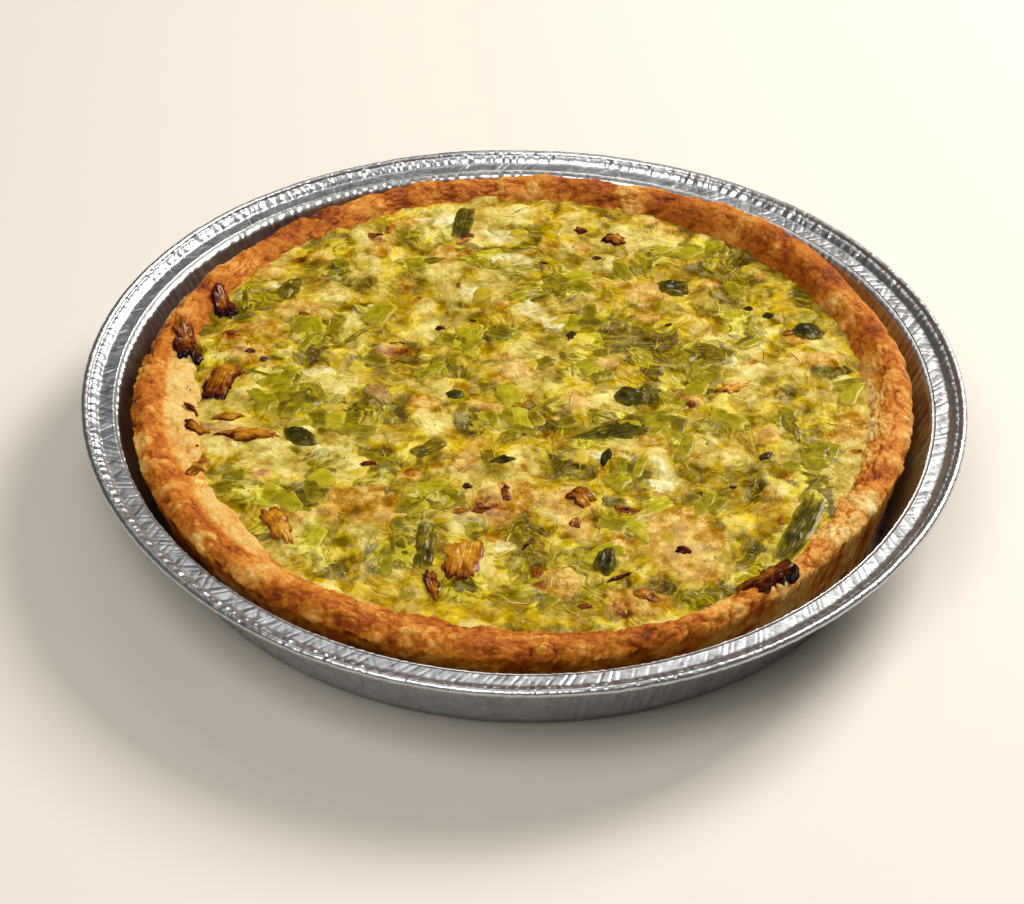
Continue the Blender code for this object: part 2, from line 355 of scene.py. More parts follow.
def baked_pastry():
    """Shortcrust, short-grained and faintly greasy: an attribute of baking and
    of painted light and shade takes it from pale dough through gold to brown,
    with darker pits between flakes, painted shade in their crevices."""
    mat, tree, shader = new_material("baked_shortcrust")
    at = position(tree)
    bake_and_shading = node(tree, "Attribute", attribute_name="bake_and_shading").outputs["Fac"]
    drift, grain, blotch = (
        node(tree, "TexNoise", {"Vector": at, "Scale": scale, "Detail": detail,
                                "Roughness": rough})
        for scale, detail, rough in (
            (0.8, 3.0, 0.5), (1.3, 6.0, 0.72), (0.42, 5.0, 0.65)))
    bent = node(tree, "VectorMath", {0: drift.outputs["Color"], 1: (1.6,) * 3,
                                     2: at}, operation="MULTIPLY_ADD")
    flakes = node(tree, "TexVoronoi", {"Vector": bent, "Scale": 0.62},
                  feature="DISTANCE_TO_EDGE")
    # Random tone from blotch and grain; darker along the flakes' edges, painted shade in the
    # crevices between them.
    bake_and_shading = swayed(tree, bake_and_shading, ((blotch, 0.3, 0.7, -0.11, 0.11),
                               (grain, 0.3, 0.7, -0.08, 0.08),
                               (flakes, 0.02, 0.2, 0.05, -0.01)))
    high = swayed(tree, grain, ((flakes, 0.0, 0.4, 0.0, 0.4),))
    plug(tree, shader, {
        "Base Color": node(tree, "ValToRGB", {"Fac": bake_and_shading}, (
            (0.0, "#D6C48C"), (0.14, "#D0AE62"), (0.32, "#CA9040"),
            (0.52, "#B46A16"), (0.76, "#8C4006"), (1.0, "#542204"))),
        "Normal": node(tree, "Bump", {
            "Height": high, "Strength": 0.7, "Distance": 0.0006}),
        "Roughness": 0.42, "Specular IOR Level": 0.12})
    return mat


# Shreds drowned in the custard: cell size in mm, share of the cells, colours
DROWNED = (
    (11.0, 0.38, ((0.28, "#A88A0C"), (0.45, "#BA9E1E"), (0.6, "#CAB23E"),
                  (0.75, "#D6C46C"))),
    (8.0, 0.26, ((0.28, "#6C5A00"), (0.45, "#867400"), (0.6, "#9C8A0A"),
                 (0.75, "#B2A22A"))))


def drowned_shreds(tree, bent, tint):
    """Lays streaked cells over a tint, each streaked along its own line.

    Returns the tint, the streaks of the first size of cell and three random
    numbers for each cell of the last size.
    """
    streaks = []
    for size, share, ramp in DROWNED:
        cells, edge = (
            node(tree, "TexVoronoi", {"Vector": bent, "Scale": 1 / size},
                 voronoi_dimensions="2D", feature=feature)
            for feature in ("F1", "DISTANCE_TO_EDGE"))
        luck = node(tree, "SeparateColor", {"Color": cells.outputs["Color"]})
        angle = node(tree, "Math", {0: luck, 1: 6.283}, operation="MULTIPLY")
        along = node(tree, "VectorRotate", {"Vector": bent, "Angle": angle},
                     rotation_type="Z_AXIS")
        along = node(tree, "Mapping", {"Vector": along, "Scale": (0.12, 1.0, 0.4)})
        grain = node(tree, "TexNoise", {
            "Vector": along, "Scale": 1.0, "Detail": 2.0, "Roughness": 0.5})
        streaks.append(grain)
        pick = node(tree, "MapRange", {
            "Value": luck.outputs[1], "From Min": share,
            "From Max": share - 0.06, "To Max": 0.8})
        fade = node(tree, "MapRange", {
            "Value": edge, "From Min": 0.02, "From Max": 0.2},
            interpolation_type="SMOOTHSTEP")
        amount = node(tree, "Math", {0: pick, 1: fade}, operation="MULTIPLY")
        shade = node(tree, "ValToRGB", {"Fac": grain}, ramp)
        tint = node(tree, "Mix", {"Factor": amount, "A": tint, "B": shade},
                    data_type="RGBA")
    return tint, streaks[0], luck


def marked(tree, tint, edges, rows):
    """Lays a shade over a tint where an attribute says so, with ragged edges.

    Each row is the attribute, its threshold, the most that shows, the pattern
    that picks the shade, and the shades.
    """
    for name, low, most, source, ramp in rows:
        mark = node(tree, "Attribute", attribute_name=name).outputs["Fac"]
        ragged = node(tree, "Math", {0: edges, 1: 0.55, 2: mark},
                      operation="MULTIPLY_ADD")
        amount = node(tree, "MapRange", {
            "Value": ragged, "From Min": 0.25 + low, "From Max": 0.7 + low,
            "To Max": most})
        shade = node(tree, "ValToRGB", {"Fac": source}, ramp)
        tint = node(tree, "Mix", {"Factor": amount, "A": tint, "B": shade},
                    data_type="RGBA")
    return tint


def set_custard():
    """Baked egg custard full of shredded leek: moist yellow between pale
    curds and olive shreds, each with its own grain, with painted shade in the
    low places and a painted highlight on the high ones.  Attributes say where
    the leek, yolk, curd and browning lie, and how high each place rises."""
    mat, tree, shader = new_material("set_egg_custard")
    at = position(tree)
    drift = node(tree, "TexNoise", {
        "Vector": at, "Scale": 0.2, "Detail": 2.0, "Roughness": 0.5})
    bent = node(tree, "VectorMath", {0: drift.outputs["Color"], 1: (7.0,) * 3,
                                     2: at}, operation="MULTIPLY_ADD")
    body, crisp, edges, beads, damp = (
        node(tree, "TexNoise", {"Vector": where, "Scale": scale,
                                "Detail": detail, "Roughness": rough})
        for where, scale, detail, rough in (
            (bent, 0.17, 2.5, 0.5), (at, 0.5, 2.5, 0.55), (at, 0.3, 3.0, 0.55),
            (at, 1.1, 1.0, 0.5), (at, 0.35, 3.0, 0.5)))
    tint = node(tree, "ValToRGB", {"Fac": body}, (
        (0.32, "#6E5C00"), (0.41, "#948000"), (0.48, "#B8A00C"),
        (0.55, "#CEBA34"), (0.66, "#D8CC78")))
    tint, streaks, luck = drowned_shreds(tree, bent, tint)
    leaf = node(tree, "Math", {0: luck.outputs[2], 1: 0.5, 2: streaks},
                operation="MULTIPLY_ADD")
    leaf = node(tree, "Math", {0: leaf, 1: 0.22}, operation="SUBTRACT")
    tint = marked(tree, tint, edges, (
        ("yolk", 0.2, 0.8, body, ((0.35, "#AC9200"), (0.65, "#D6B80C"))),
        ("cream", 0.2, 0.8, body,
         ((0.32, "#B09E48"), (0.5, "#CABA6E"), (0.68, "#E0D49C"))),
        ("green", 0.12, 0.9, leaf,
         ((0.22, "#3C3400"), (0.38, "#5E5200"), (0.52, "#807400"),
          (0.66, "#A4980E"), (0.82, "#CABE48"))),
        ("toast", 0.25, 0.85, edges,
         ((0.34, "#885606"), (0.5, "#AE7C10"), (0.64, "#CCA034"))),
        ("egg", 0.0, 0.9, crisp, ((0.3, "#C8C08E"), (0.7, "#E6E2CA"))),
        ("scorch", 0.4, 0.9, crisp,
         ((0.35, "#4A1A02"), (0.5, "#823E08"), (0.65, "#B06C1C")))))
    # Painted shade: low places, streaks and noise darken the tint.
    rise = node(tree, "Attribute", attribute_name="rise").outputs["Fac"]
    weave = node(tree, "Mix", {"Factor": 0.35, "A": streaks, "B": crisp})
    depth = node(tree, "Math", {0: weave, 1: 0.3, 2: rise},
                 operation="MULTIPLY_ADD")
    shadow = node(tree, "ValToRGB", {"Fac": depth}, (
        (0.30, "#80703A"), (0.40, "#AEA064"), (0.48, "#DAD0A0"),
        (0.56, "#F6F4E2")))
    tint = node(tree, "Mix", {"Factor": 1.0, "A": tint, "B": shadow},
                data_type="RGBA", blend_type="MULTIPLY")
    # Painted highlight: high places are mixed towards pale cream.
    lit = node(tree, "MapRange", {
        "Value": depth, "From Min": 0.54, "From Max": 0.74, "To Max": 0.4})
    tint = node(tree, "Mix", {"Factor": lit, "A": tint, "B": colour("#DACE8E")},
                data_type="RGBA")
    fine = node(tree, "Math", {0: crisp, 1: 0.6, 2: streaks},
                operation="MULTIPLY_ADD")
    fine = node(tree, "Math", {0: fine, 1: body}, operation="ADD")
    plug(tree, shader, {
        "Base Color": tint,
        "Normal": node(tree, "Bump", {
            "Height": fine, "Strength": 0.65, "Distance": 0.0011}),
        "Coat Weight": node(tree, "MapRange", {
            "Value": damp, "From Min": 0.42, "From Max": 0.58, "To Max": 0.26}),
        "Coat Normal": node(tree, "Bump", {
            "Height": beads, "Strength": 0.8, "Distance": 0.0007}),
        "Coat Roughness": 0.08, "Roughness": 0.55, "Specular IOR Level": 0.0})
    return mat


def cooked_leaf(name, stops, rough=0.3, contrast=0.2):
    """Cooked leek or onion: moist, with veins along its length, its edges
    drowned in the egg round it where the attribute says so."""
    mat, tree, shader = new_material(name)
    along = node(tree, "TexCoord").outputs["UV"]
    tone, drown = (node(tree, "Attribute", attribute_name=key).outputs["Fac"]
                   for key in ("tone", "drown"))
    grain = node(tree, "Mapping", {"Vector": along, "Scale": (0.12, 2.2, 1)})
    veins, blotch = (
        node(tree, "TexNoise", {"Vector": where, "Scale": scale, "Detail": 3.0,
                                "Roughness": 0.6})
        for where, scale in ((grain, 1.0), (position(tree), 0.4)))
    tone = swayed(tree, tone, ((veins, 0.3, 0.7, -contrast, contrast),
                               (blotch, 0.3, 0.7, -0.18, 0.18)))
    tint = node(tree, "ValToRGB", {"Fac": tone}, stops)
    drown = node(tree, "Math", {0: drown, 1: blotch}, operation="MULTIPLY")
    drown = node(tree, "Math", {0: drown, 1: 2.0}, operation="MULTIPLY",
                 use_clamp=True)
    tint = node(tree, "Mix", {"Factor": drown, "A": tint,
                              "B": colour("#B2A02E")}, data_type="RGBA")
    plug(tree, shader, {
        "Base Color": tint,
        "Normal": node(tree, "Bump", {
            "Height": veins, "Strength": 0.35, "Distance": 0.0003}),
        "Roughness": rough, "Specular IOR Level": 0.03,
        "Coat Weight": 0.17, "Coat Roughness": 0.08})
    return mat


FOIL = aluminium_foil()
CRUST = baked_pastry()
CUSTARD = set_custard()
LEEK = cooked_leaf("cooked_leek", (
    (0.0, "#141202"), (0.25, "#3C3402"), (0.5, "#6E5E04"), (0.75, "#A48E14"),
    (1.0, "#D8C460")), 0.42)
ONION = cooked_leaf("baked_onion", (
    (0.0, "#1A0603"), (0.25, "#4E1A06"), (0.5, "#8C540A"), (0.75, "#AE7C18"),
    (1.0, "#DCB868")))
SOFT_LEEK = cooked_leaf("soft_leek", (
    (0.0, "#3C3400"), (0.3, "#605400"), (0.55, "#827606"), (0.8, "#A0941C"),
    (1.0, "#BEB246")), 0.42, 0.13)
PETAL = cooked_leaf("soft_onion", (
    (0.0, "#8C740C"), (0.35, "#AA9228"), (0.7, "#C0AA4C"), (1.0, "#D2C284")),
    0.4, 0.15)
MUSHROOM = cooked_leaf("baked_mushroom", (
    (0.0, "#3A260C"), (0.5, "#86682E"), (1.0, "#CDB27C")), 0.45)
FLECK = cooked_leaf("dried_herb", ((0.0, "#14140A"), (1.0, "#5A5212")), 0.6)


# ---------------------------------------------------------------- the tin

def fold_lines(pitch, seed):
    """Directions of the folds round the tin, pitch mm apart on average."""
    rng = np.random.default_rng(seed)
    steps = rng.uniform(0.5, 1.5, int(TURN * FOLD_R / pitch))
    edges = np.concatenate([[0], np.cumsum(steps)]) / steps.sum() * TURN
    return rng, edges


def pleats(a, pitch, seed, zigzag):
    """Straight runs between random heights at the fold lines, with zigzag
    added up and down by turns, so that every facet leans its own way."""
    rng, edges = fold_lines(pitch, seed)
    level = rng.uniform(-1, 1, len(edges) - 1)
    level = level + zigzag * (-1) ** np.arange(len(level))
    level = np.concatenate([level, level[:1]])
    return np.interp(np.mod(a, TURN), edges, level)


def grooves(a, pitch, seed, width):
    """1 on the deepest fold lines, falling to 0 within about width mm."""
    rng, edges = fold_lines(pitch, seed)
    deep = np.concatenate([rng.uniform(0.2, 1, len(edges) - 1), [0]])
    deep[-1] = deep[0]
    turned = np.mod(a, TURN)
    nxt = np.clip(np.searchsorted(edges, turned), 1, len(edges) - 1)
    before = (turned - edges[nxt - 1]) * FOLD_R / width
    after = (edges[nxt] - turned) * FOLD_R / width
    return np.maximum(deep[nxt - 1] * np.exp(-before ** 2),
                      deep[nxt] * np.exp(-after ** 2))


def squeeze(a, z):
    """How far the tin bulges out: three lobes that grow from base to rim."""
    return LOBES * np.sin(3 * a) * np.clip(z / LEDGE_Z, 0, 1)


def rim_section():
    """Ledge, lip, rolled bead and underside: radius, height and zone.

    The zone runs to 0.5 over the ledge, to 0.75 over the lip and to 1 round
    the bead, and falls back to 0 on the underside.
    """
    t = np.linspace(0, 1, 9)
    ledge_r = LEDGE_R + (CREASE_R - LEDGE_R) * t
    lip_t = np.linspace(0, 1, 8)
    lip_r = CREASE_R + 0.35 + (BEAD_R - 1.45 - CREASE_R) * lip_t
    lip_z = LEDGE_Z + 0.12 + 1.43 * (1 - (1 - lip_t) ** 2.2)
    turn = np.radians(np.linspace(160, -165, 17))
    bead_r = BEAD_R + (BEAD_W - 0.1) * np.cos(turn)
    bead_z = BEAD_Z + (BEAD_W - 0.1) * np.sin(turn)
    under_r = np.linspace(BEAD_R - 1.3, LEDGE_R, 5)
    under_z = [BEAD_Z - 0.5, LEDGE_Z - 0.1] + [LEDGE_Z - 0.3] * 3
    r = np.concatenate([ledge_r, lip_r, bead_r, under_r])
    z = np.concatenate([np.full(9, LEDGE_Z), lip_z, bead_z, under_z])
    zone = np.concatenate([t * 0.5, 0.55 + 0.2 * lip_t,
                           np.linspace(0.8, 1.0, 17), np.linspace(0.7, 0, 5)])
    return r, z, zone


def tin_rim():
    """Ledge, lip and rolled bead: a profile turned round, then crimped.

    The ledge is a ladder of nearly flat facets between narrow grooves; the
    lip and the bead are wrinkled more finely.
    """
    nu = 2550
    r, z, zone = rim_section()
    a = ring_angles(nu)
    skew = ring_clouds(a, 9, 0 * a, 1.0, 3)
    off = (r - LEDGE_MID) / 3
    twist = a + 0.009 * skew * off
    left = a + (0.016 + 0.008 * skew) * off
    right = a - (0.020 - 0.008 * skew) * off
    which = ease(ring_clouds(a, 100, 1.5 * r, 4.0, 28, 2), -0.25, 0.25)
    lean = (pleats(left, 2.6, 21, 0.2) * which
            + pleats(right, 3.1, 22, 0.2) * (1 - which))
    line = np.maximum(grooves(left, 2.6, 21, 0.28) * (0.3 + 0.7 * which),
                      grooves(right, 3.1, 22, 0.26) * (1 - 0.7 * which))
    lip_fold = pleats(twist, 1.4, 23, 0.9)
    lip_line = grooves(a - 0.036 * skew * off, 2.0, 27, 0.25)
    bead_fold = pleats(a + 0 * r, 1.3, 24, 0.7)
    crush = clouds(FOLD_R * twist, r + 0 * a, 0 * twist, 1.7, 29, 2)
    wave = ring_clouds(a, 100, 0 * a, 22.0, 5, 2)
    on_ledge = np.interp(zone, [0, 0.06, 0.44, 0.52], [0.4, 1, 1, 0.5])
    on_lip = np.interp(zone, [0.5, 0.6, 0.75, 0.82], [0, 1, 1, 0.2])
    on_bead = np.interp(zone, [0.75, 0.85, 1.0], [0, 1, 1])
    outward = np.clip((r - LEDGE_R) / (CREASE_R - LEDGE_R), 0, 1)
    dz = on_ledge * (0.13 * lean - 0.22 * line)
    dz = dz + on_lip * (0.09 * lip_fold - 0.16 * lip_line)
    dz = dz + on_lip * 0.13 * crush + 0.045 * bead_fold * on_bead
    dz = dz + 0.22 * wave * (outward + 0.3)
    dr = -0.11 * np.abs(bead_fold) * on_bead - 0.06 * lip_fold * on_lip
    dr = dr - 0.25 * (1 + wave) * np.clip(zone - 0.5, 0, 1)
    z = np.minimum(z + dz, BEAD_Z + 1.15)
    points = ring_mesh(a + 0 * r, r + dr + squeeze(a, z), z)[:, ::-1]
    faces = grid_faces(nu, len(r), wrap_u=True, wrap_v=True)
    return make_piece("tin_rim", points.reshape(-1, 3), [faces], FOIL,
                      replaces=["foil_tin"])


def wall_section():
    """Base and wall, up the inside and down the outside: radius, height and
    how deep the flutes are."""
    foot, floor_top, inner_foot = 0.9, 0.35, 1.3
    high = np.linspace(1.0, 0, 13)
    slope = (LEDGE_R - BASE_R) / (LEDGE_Z - foot)
    z_in = inner_foot + (LEDGE_Z - 0.1 - inner_foot) * high
    r_in = BASE_R + slope * (z_in - foot) - 0.33
    z_out = foot + (LEDGE_Z - 0.35 - foot) * high
    r_out = BASE_R + slope * (z_out - foot)
    r = np.concatenate([[60.0, 97.0, 99.2], r_in[::-1], r_out,
                        [99.4, 97.0, 60.0]])
    z = np.concatenate([[floor_top, floor_top, 0.40], z_in[::-1], z_out,
                        [0.0, 0.0, 0.0]])
    depth = np.interp(high, [0, 0.1, 0.9, 1], [0.3, 1, 1, 0.5])
    w = np.concatenate([[0, 0, 0.2], depth[::-1], depth, np.zeros(3)])
    return r, z, w, [[0, 0, 0.0], [0, 0, floor_top]]


def tin_wall():
    """Fluted wall and flat base: straight flare with upright folds."""
    nu = 1800
    r, z, w, poles = wall_section()
    a = ring_angles(nu)
    up = (z - 14) / 14
    lean = 0.012 * ring_clouds(a, 6, 0 * a, 1.0, 7)
    flute = pleats(a + lean * up, 1.5, 31, 1.0)
    crease = pleats(a - 0.05 * up, 3.1, 32, 0.8)
    dr = w * (0.15 * flute + 0.07 * crease - 0.25)
    points = ring_mesh(a + 0 * r, r + dr + squeeze(a, z), z + 0 * a)[:, ::-1]
    points = np.concatenate([points.reshape(-1, 3), poles])
    faces = [grid_faces(nu, len(r), wrap_u=True), *pole_fans(nu, len(r))]
    return make_piece("tin_wall", points, faces, FOIL,
                      replaces=["foil_tin"])


# ---------------------------------------------------------------- pastry

def rim_form(a):
    """Outer radius and crest height of the pastry by direction."""
    radius, top = PASTRY_R + 0 * a, PASTRY_TOP + 0 * a
    for deg, spread, out, up in RIM_FORM:
        w = bump_at(a, deg, spread)
        radius, top = radius + out * w, top + up * w
    ripple = 0.25 * np.sin(9 * a + 1.0) + 0.2 * np.sin(14 * a)
    return radius + 0.5 * ripple, top + ripple


def fill_radius(a):
    """Line where the filling meets the pastry."""
    wave = 0.5 * np.cos(2 * a + 2.6) + 0.4 * np.sin(5 * a)
    return FILL_R + wave + bumps(a, FILL_FORM)


def rim_profile(s):
    """Share of the crest's height from the filling (0) to the outside (1)."""
    rise = 1 - (1 - np.clip(s, 0, CREST) / CREST) ** 2.0
    fall = 1 - 0.85 * (np.clip(s - CREST, 0, 1) / (1 - CREST)) ** 2.4
    return np.where(s < CREST, rise, fall)


def rim_surface(a, r):
    """Height of the pastry round the filling by direction and radius, and how
    far a place belongs to the low band of pale dough inside the left ridge."""
    r_out, top = rim_form(a)
    r_in = fill_radius(a)
    s = np.minimum((r - r_in) / (r_out - r_in), 1.0)
    ragged = ring_clouds(a, 90, 0 * r, 5.0, 40, 2)
    band = np.clip(bumps(a, PALE_BAND), 0, 1)
    edge_r = r_in - 4.6 * band * (1 + 0.5 * ragged)
    shelf = 1.5 * ease(band, 0.05, 0.4)
    start = 0.25 * shelf / 1.5 * (1 + 0.4 * ragged)
    share = np.clip((s - start) / (1 - start), 0, 1)
    dig = np.clip(edge_r - r, 0, None)
    ridge = (top - FILL_EDGE) * rim_profile(share)
    low = shelf * (1 - ease(dig, 0, 1.6)) - 1.0 * dig
    high = FILL_EDGE + np.where(s >= 0, np.maximum(ridge, low), low)
    pale = ease(shelf, 0.2, 1.0) * (1 - ease(share + 0.08 * ragged, 0.0, 0.28))
    return high, pale


def cup_section(a):
    """Rings of the cup, from its base up the outer wall, over the rim and
    down behind the filling.

    Returns radius, height, how far each ring may be roughened, its place
    across the rim (0 at the filling, 1 outside) and the pale band's share.
    """
    r_out, top = rim_form(a)
    r_in = fill_radius(a)
    wall = np.linspace(0, 1, 18)[1:-1]
    rim = np.concatenate([np.linspace(1, 0, 36), np.linspace(0, -0.75, 14)[1:]])
    foot = 2.1
    shoulder = FILL_EDGE + (top - FILL_EDGE) * 0.15
    wall_r = PASTRY_BASE_R + (r_out - PASTRY_BASE_R) * wall
    wall_z = foot + (shoulder - foot) * wall
    rim_r = r_in + (r_out - r_in) * rim
    rim_z, pale = rim_surface(a, rim_r)
    ones = np.ones_like(a)
    r = np.concatenate([ones * [97.2, 99.0], wall_r, rim_r, ones * [84.5, 83.0]], 1)
    z = np.concatenate([ones * [CUP_BASE, 1.3], wall_z, rim_z,
                        ones * [14.0, CUP_FLOOR]], 1)
    rough = np.concatenate([[0, 0], np.full(len(wall) - 2, 0.3), [0.5, 0.8],
                            np.ones(len(rim)), [0, 0]])
    before = 2 + len(wall)
    across = np.concatenate([np.full(before, 1.2), rim, [-0.8, -0.8]])
    return r, z, rough, across, np.pad(pale, ((0, 0), (before, 2)))


def crust_relief(a, r, base, fade):
    """How far the crust is pushed out along its normals, in mm, and what its
    baking and its painted shade follow: cracks, creases, pressed folds and the
    gaps in the crumb.

    The left is a cracked ridge, the front is flaky, the lower right is
    worm-like crumb, the tall right side is smoother and the back is fluted.
    """
    x, y, z = base[..., 0], base[..., 1], base[..., 2]
    wormy = np.clip(bumps(a, WORMY), 0, 1)
    smooth = bumps(a, SMOOTH)
    warp = 1.6 * clouds(x, y, z, 3.5, 41, 2)
    lump = clouds(x, y, z, 8.0, 42, 2)
    mid = clouds(x, y, z, 3.4, 44, 2)
    fine = clouds(x, y, z, 1.5, 46, 2)
    _, gap, name = pebbles((x + y) / 1.4 + 1.2 * warp,
                           (x - y) / 2.4 - 1.2 * warp, 0.7 * z, 2.4, 43)
    crumb = ease(gap, 0.0, 0.4) + 0.3 * (name - 0.5)
    _, gap, name = pebbles(x + 0.7 * warp, y - 0.7 * warp, 1.5 * z, 2.6, 47)
    flake = ease(gap, 0.0, 0.3) * (0.5 + name) - 0.6
    layer = clouds(np.cos(a) * 17 + 0.25 * mid, np.sin(a) * 17 + 0.25 * mid,
                   (r + z) * 0.55, 1.0, 51, 2)
    patch = clouds(x, y, z, 7.0, 52, 2)
    crack = np.exp(-(layer / 0.09) ** 2) * ease(patch, -0.25, 0.2)
    crease = np.exp(-(clouds(x, y, 0.5 * z, 5.0, 53, 2) / 0.07) ** 2)
    flute = ring_clouds(a, 24, 0.02 * z, 1.0, 54, 2)
    bent = (r - FOLD_PIVOT) / FOLD_PIVOT
    fold = sum(deep * bump_at(a + 0.03 * mid + lean * bent, deg, wide)
               for deg, wide, deep, lean in FOLDS)
    push = 0.60 * lump + (0.60 * mid + 0.32 * fine) * (1 - 0.3 * smooth)
    push = push + 0.22 * layer - 0.45 * crack * (1 - 0.7 * smooth)
    push = push - 0.30 * crease * (1 - 0.6 * smooth) - fold
    push = push + 0.42 * flake * np.clip(bumps(a, FLAKY) + 0.5 * smooth, 0, 1)
    push = push + 0.45 * wormy * (crumb - 0.6) + 0.8 * flute * bumps(a, FLUTED)
    dough = clouds(x, y, z, 4.5, 57, 1)
    push = push * (1 - 0.7 * fade) + fade * (0.9 * dough - 0.25 * crease)
    return push, crack, crease, fold, wormy * (0.5 - crumb)


def crust_bake_and_shading(a, base, across, fade, push, crack, crease, fold, gaps):
    """How dark the crust is, from its baking and from painted light: darker in
    cracks, creases and folds, partly browning and partly painted shade; painted
    shade in the hollows and the crumb's gaps, a painted highlight on what stands
    out, and its own stretches round the rim."""
    x, y, z = base[..., 0], base[..., 1], base[..., 2]
    inner = ease(0.45 - across, 0, 0.35)
    crest = np.exp(-((across - CREST) / 0.25) ** 2)
    side = ease(across, 0.75, 1.1)
    bake_and_shading = 0.49 + 0.42 * clouds(x, y, z, 10.0, 55, 3, 0.55)
    bake_and_shading = bake_and_shading + 0.08 * clouds(x, y, z, 2.0, 56, 2)
    # Darker in cracks, creases and folds: partly browning, partly painted shade.
    bake_and_shading = bake_and_shading + 0.24 * crack + 0.10 * crease + 0.2 * np.clip(fold, 0, 1)
    # Painted highlight on what stands out, painted shade in the hollows.
    bake_and_shading = bake_and_shading - 0.30 * ease(push, 0.1, 0.9) + 0.28 * ease(-push, 0.1, 0.8)
    # The crest's paler stretch towards 50 degrees is a painted highlight.
    bake_and_shading = bake_and_shading + bumps(a, BAKED_SIDES) + crest * bumps(a, CREST_TONE_AND_HIGHLIGHT)
    bake_and_shading = bake_and_shading + bumps(a, PALE_RIGHT) * (1 - 0.6 * side)
    # Painted shade on the inner face towards 45 degrees.
    bake_and_shading = bake_and_shading + inner * bumps(a, INSIDE_TONE_AND_SHADE)
    bake_and_shading = np.minimum(bake_and_shading, 0.58 + 0.65 * (bake_and_shading - 0.58))
    bake_and_shading = bake_and_shading + inner * bumps(a, BROWN_FRONT)
    # In the pale band, darker in its creases: partly dough colour, partly painted shade.
    bake_and_shading = bake_and_shading * (1 - 0.85 * fade) + 0.05 * fade + 0.12 * fade * crease
    # Painted shade in the gaps of the crumb.
    return bake_and_shading + 0.07 * gaps


def pastry_case():
    """The cup: rings turned round and roughened along their normals."""
    nu = 1340
    a = ring_angles(nu)
    r, z, rough, across, fade = cup_section(a)
    base = ring_mesh(a + 0 * r, r, z)
    du = np.roll(base, -1, 0) - np.roll(base, 1, 0)
    dv = np.gradient(base, axis=1)
    normal = np.cross(du, dv)
    normal /= np.linalg.norm(normal, axis=-1, keepdims=True) + 1e-9
    relief = crust_relief(a, r, base, fade)
    points = base + normal * (relief[0] * rough)[..., None]
    points[..., 2] = np.minimum(points[..., 2], CEILING)
    bake_and_shading = crust_bake_and_shading(a, base, across, fade, *relief)
    poles = [[0, 0, CUP_BASE], [0, 0, CUP_FLOOR]]
    points = np.concatenate([points.reshape(-1, 3), poles])
    nv = r.shape[1]
    faces = [grid_faces(nu, nv, wrap_u=True), *pole_fans(nu, nv)]
    notes = {"bake_and_shading": np.concatenate([bake_and_shading.ravel(), [0.5, 0.5]])}
    return make_piece("pastry_case", points, faces, CRUST, notes,
                      replaces=["pastry"])


# ---------------------------------------------------------------- filling

def custard_base(x, y):
    """Level of the filling with its broad swells only."""
    level = FILL_EDGE + FILL_RISE * (1 - (x * x + y * y) / FILL_R ** 2)
    return level + 0.45 * clouds(x, y, 0 * x, 19.0, 61, 2)


def patches(x, y, spots, blur, seed):
    """0 to 1 inside any of the soft ovals (x, y, width, depth, turn).

    The rims are pushed in and out by noise, so that no oval shows as one.
    """
    ragged = 0.4
    total = np.zeros_like(x)
    wob = clouds(x, y, 0 * x, 5.0, seed, 3, 0.6)
    sx = x + 2.2 * clouds(x, y, 0 * x + 3, 7.0, seed + 1, 2)
    sy = y + 2.2 * clouds(x, y, 0 * x + 7, 7.0, seed + 2, 2)
    for cx, cy, w, d, turn in spots:
        c, n = math.cos(math.radians(turn)), math.sin(math.radians(turn))
        u = ((sx - cx) * c + (sy - cy) * n) / (w / 2)
        v = ((sy - cy) * c - (sx - cx) * n) / (d / 2)
        q = np.hypot(u, v) + ragged * wob
        total = np.maximum(total, 1 - ease(q, 1 - blur, 1 + blur))
    return total


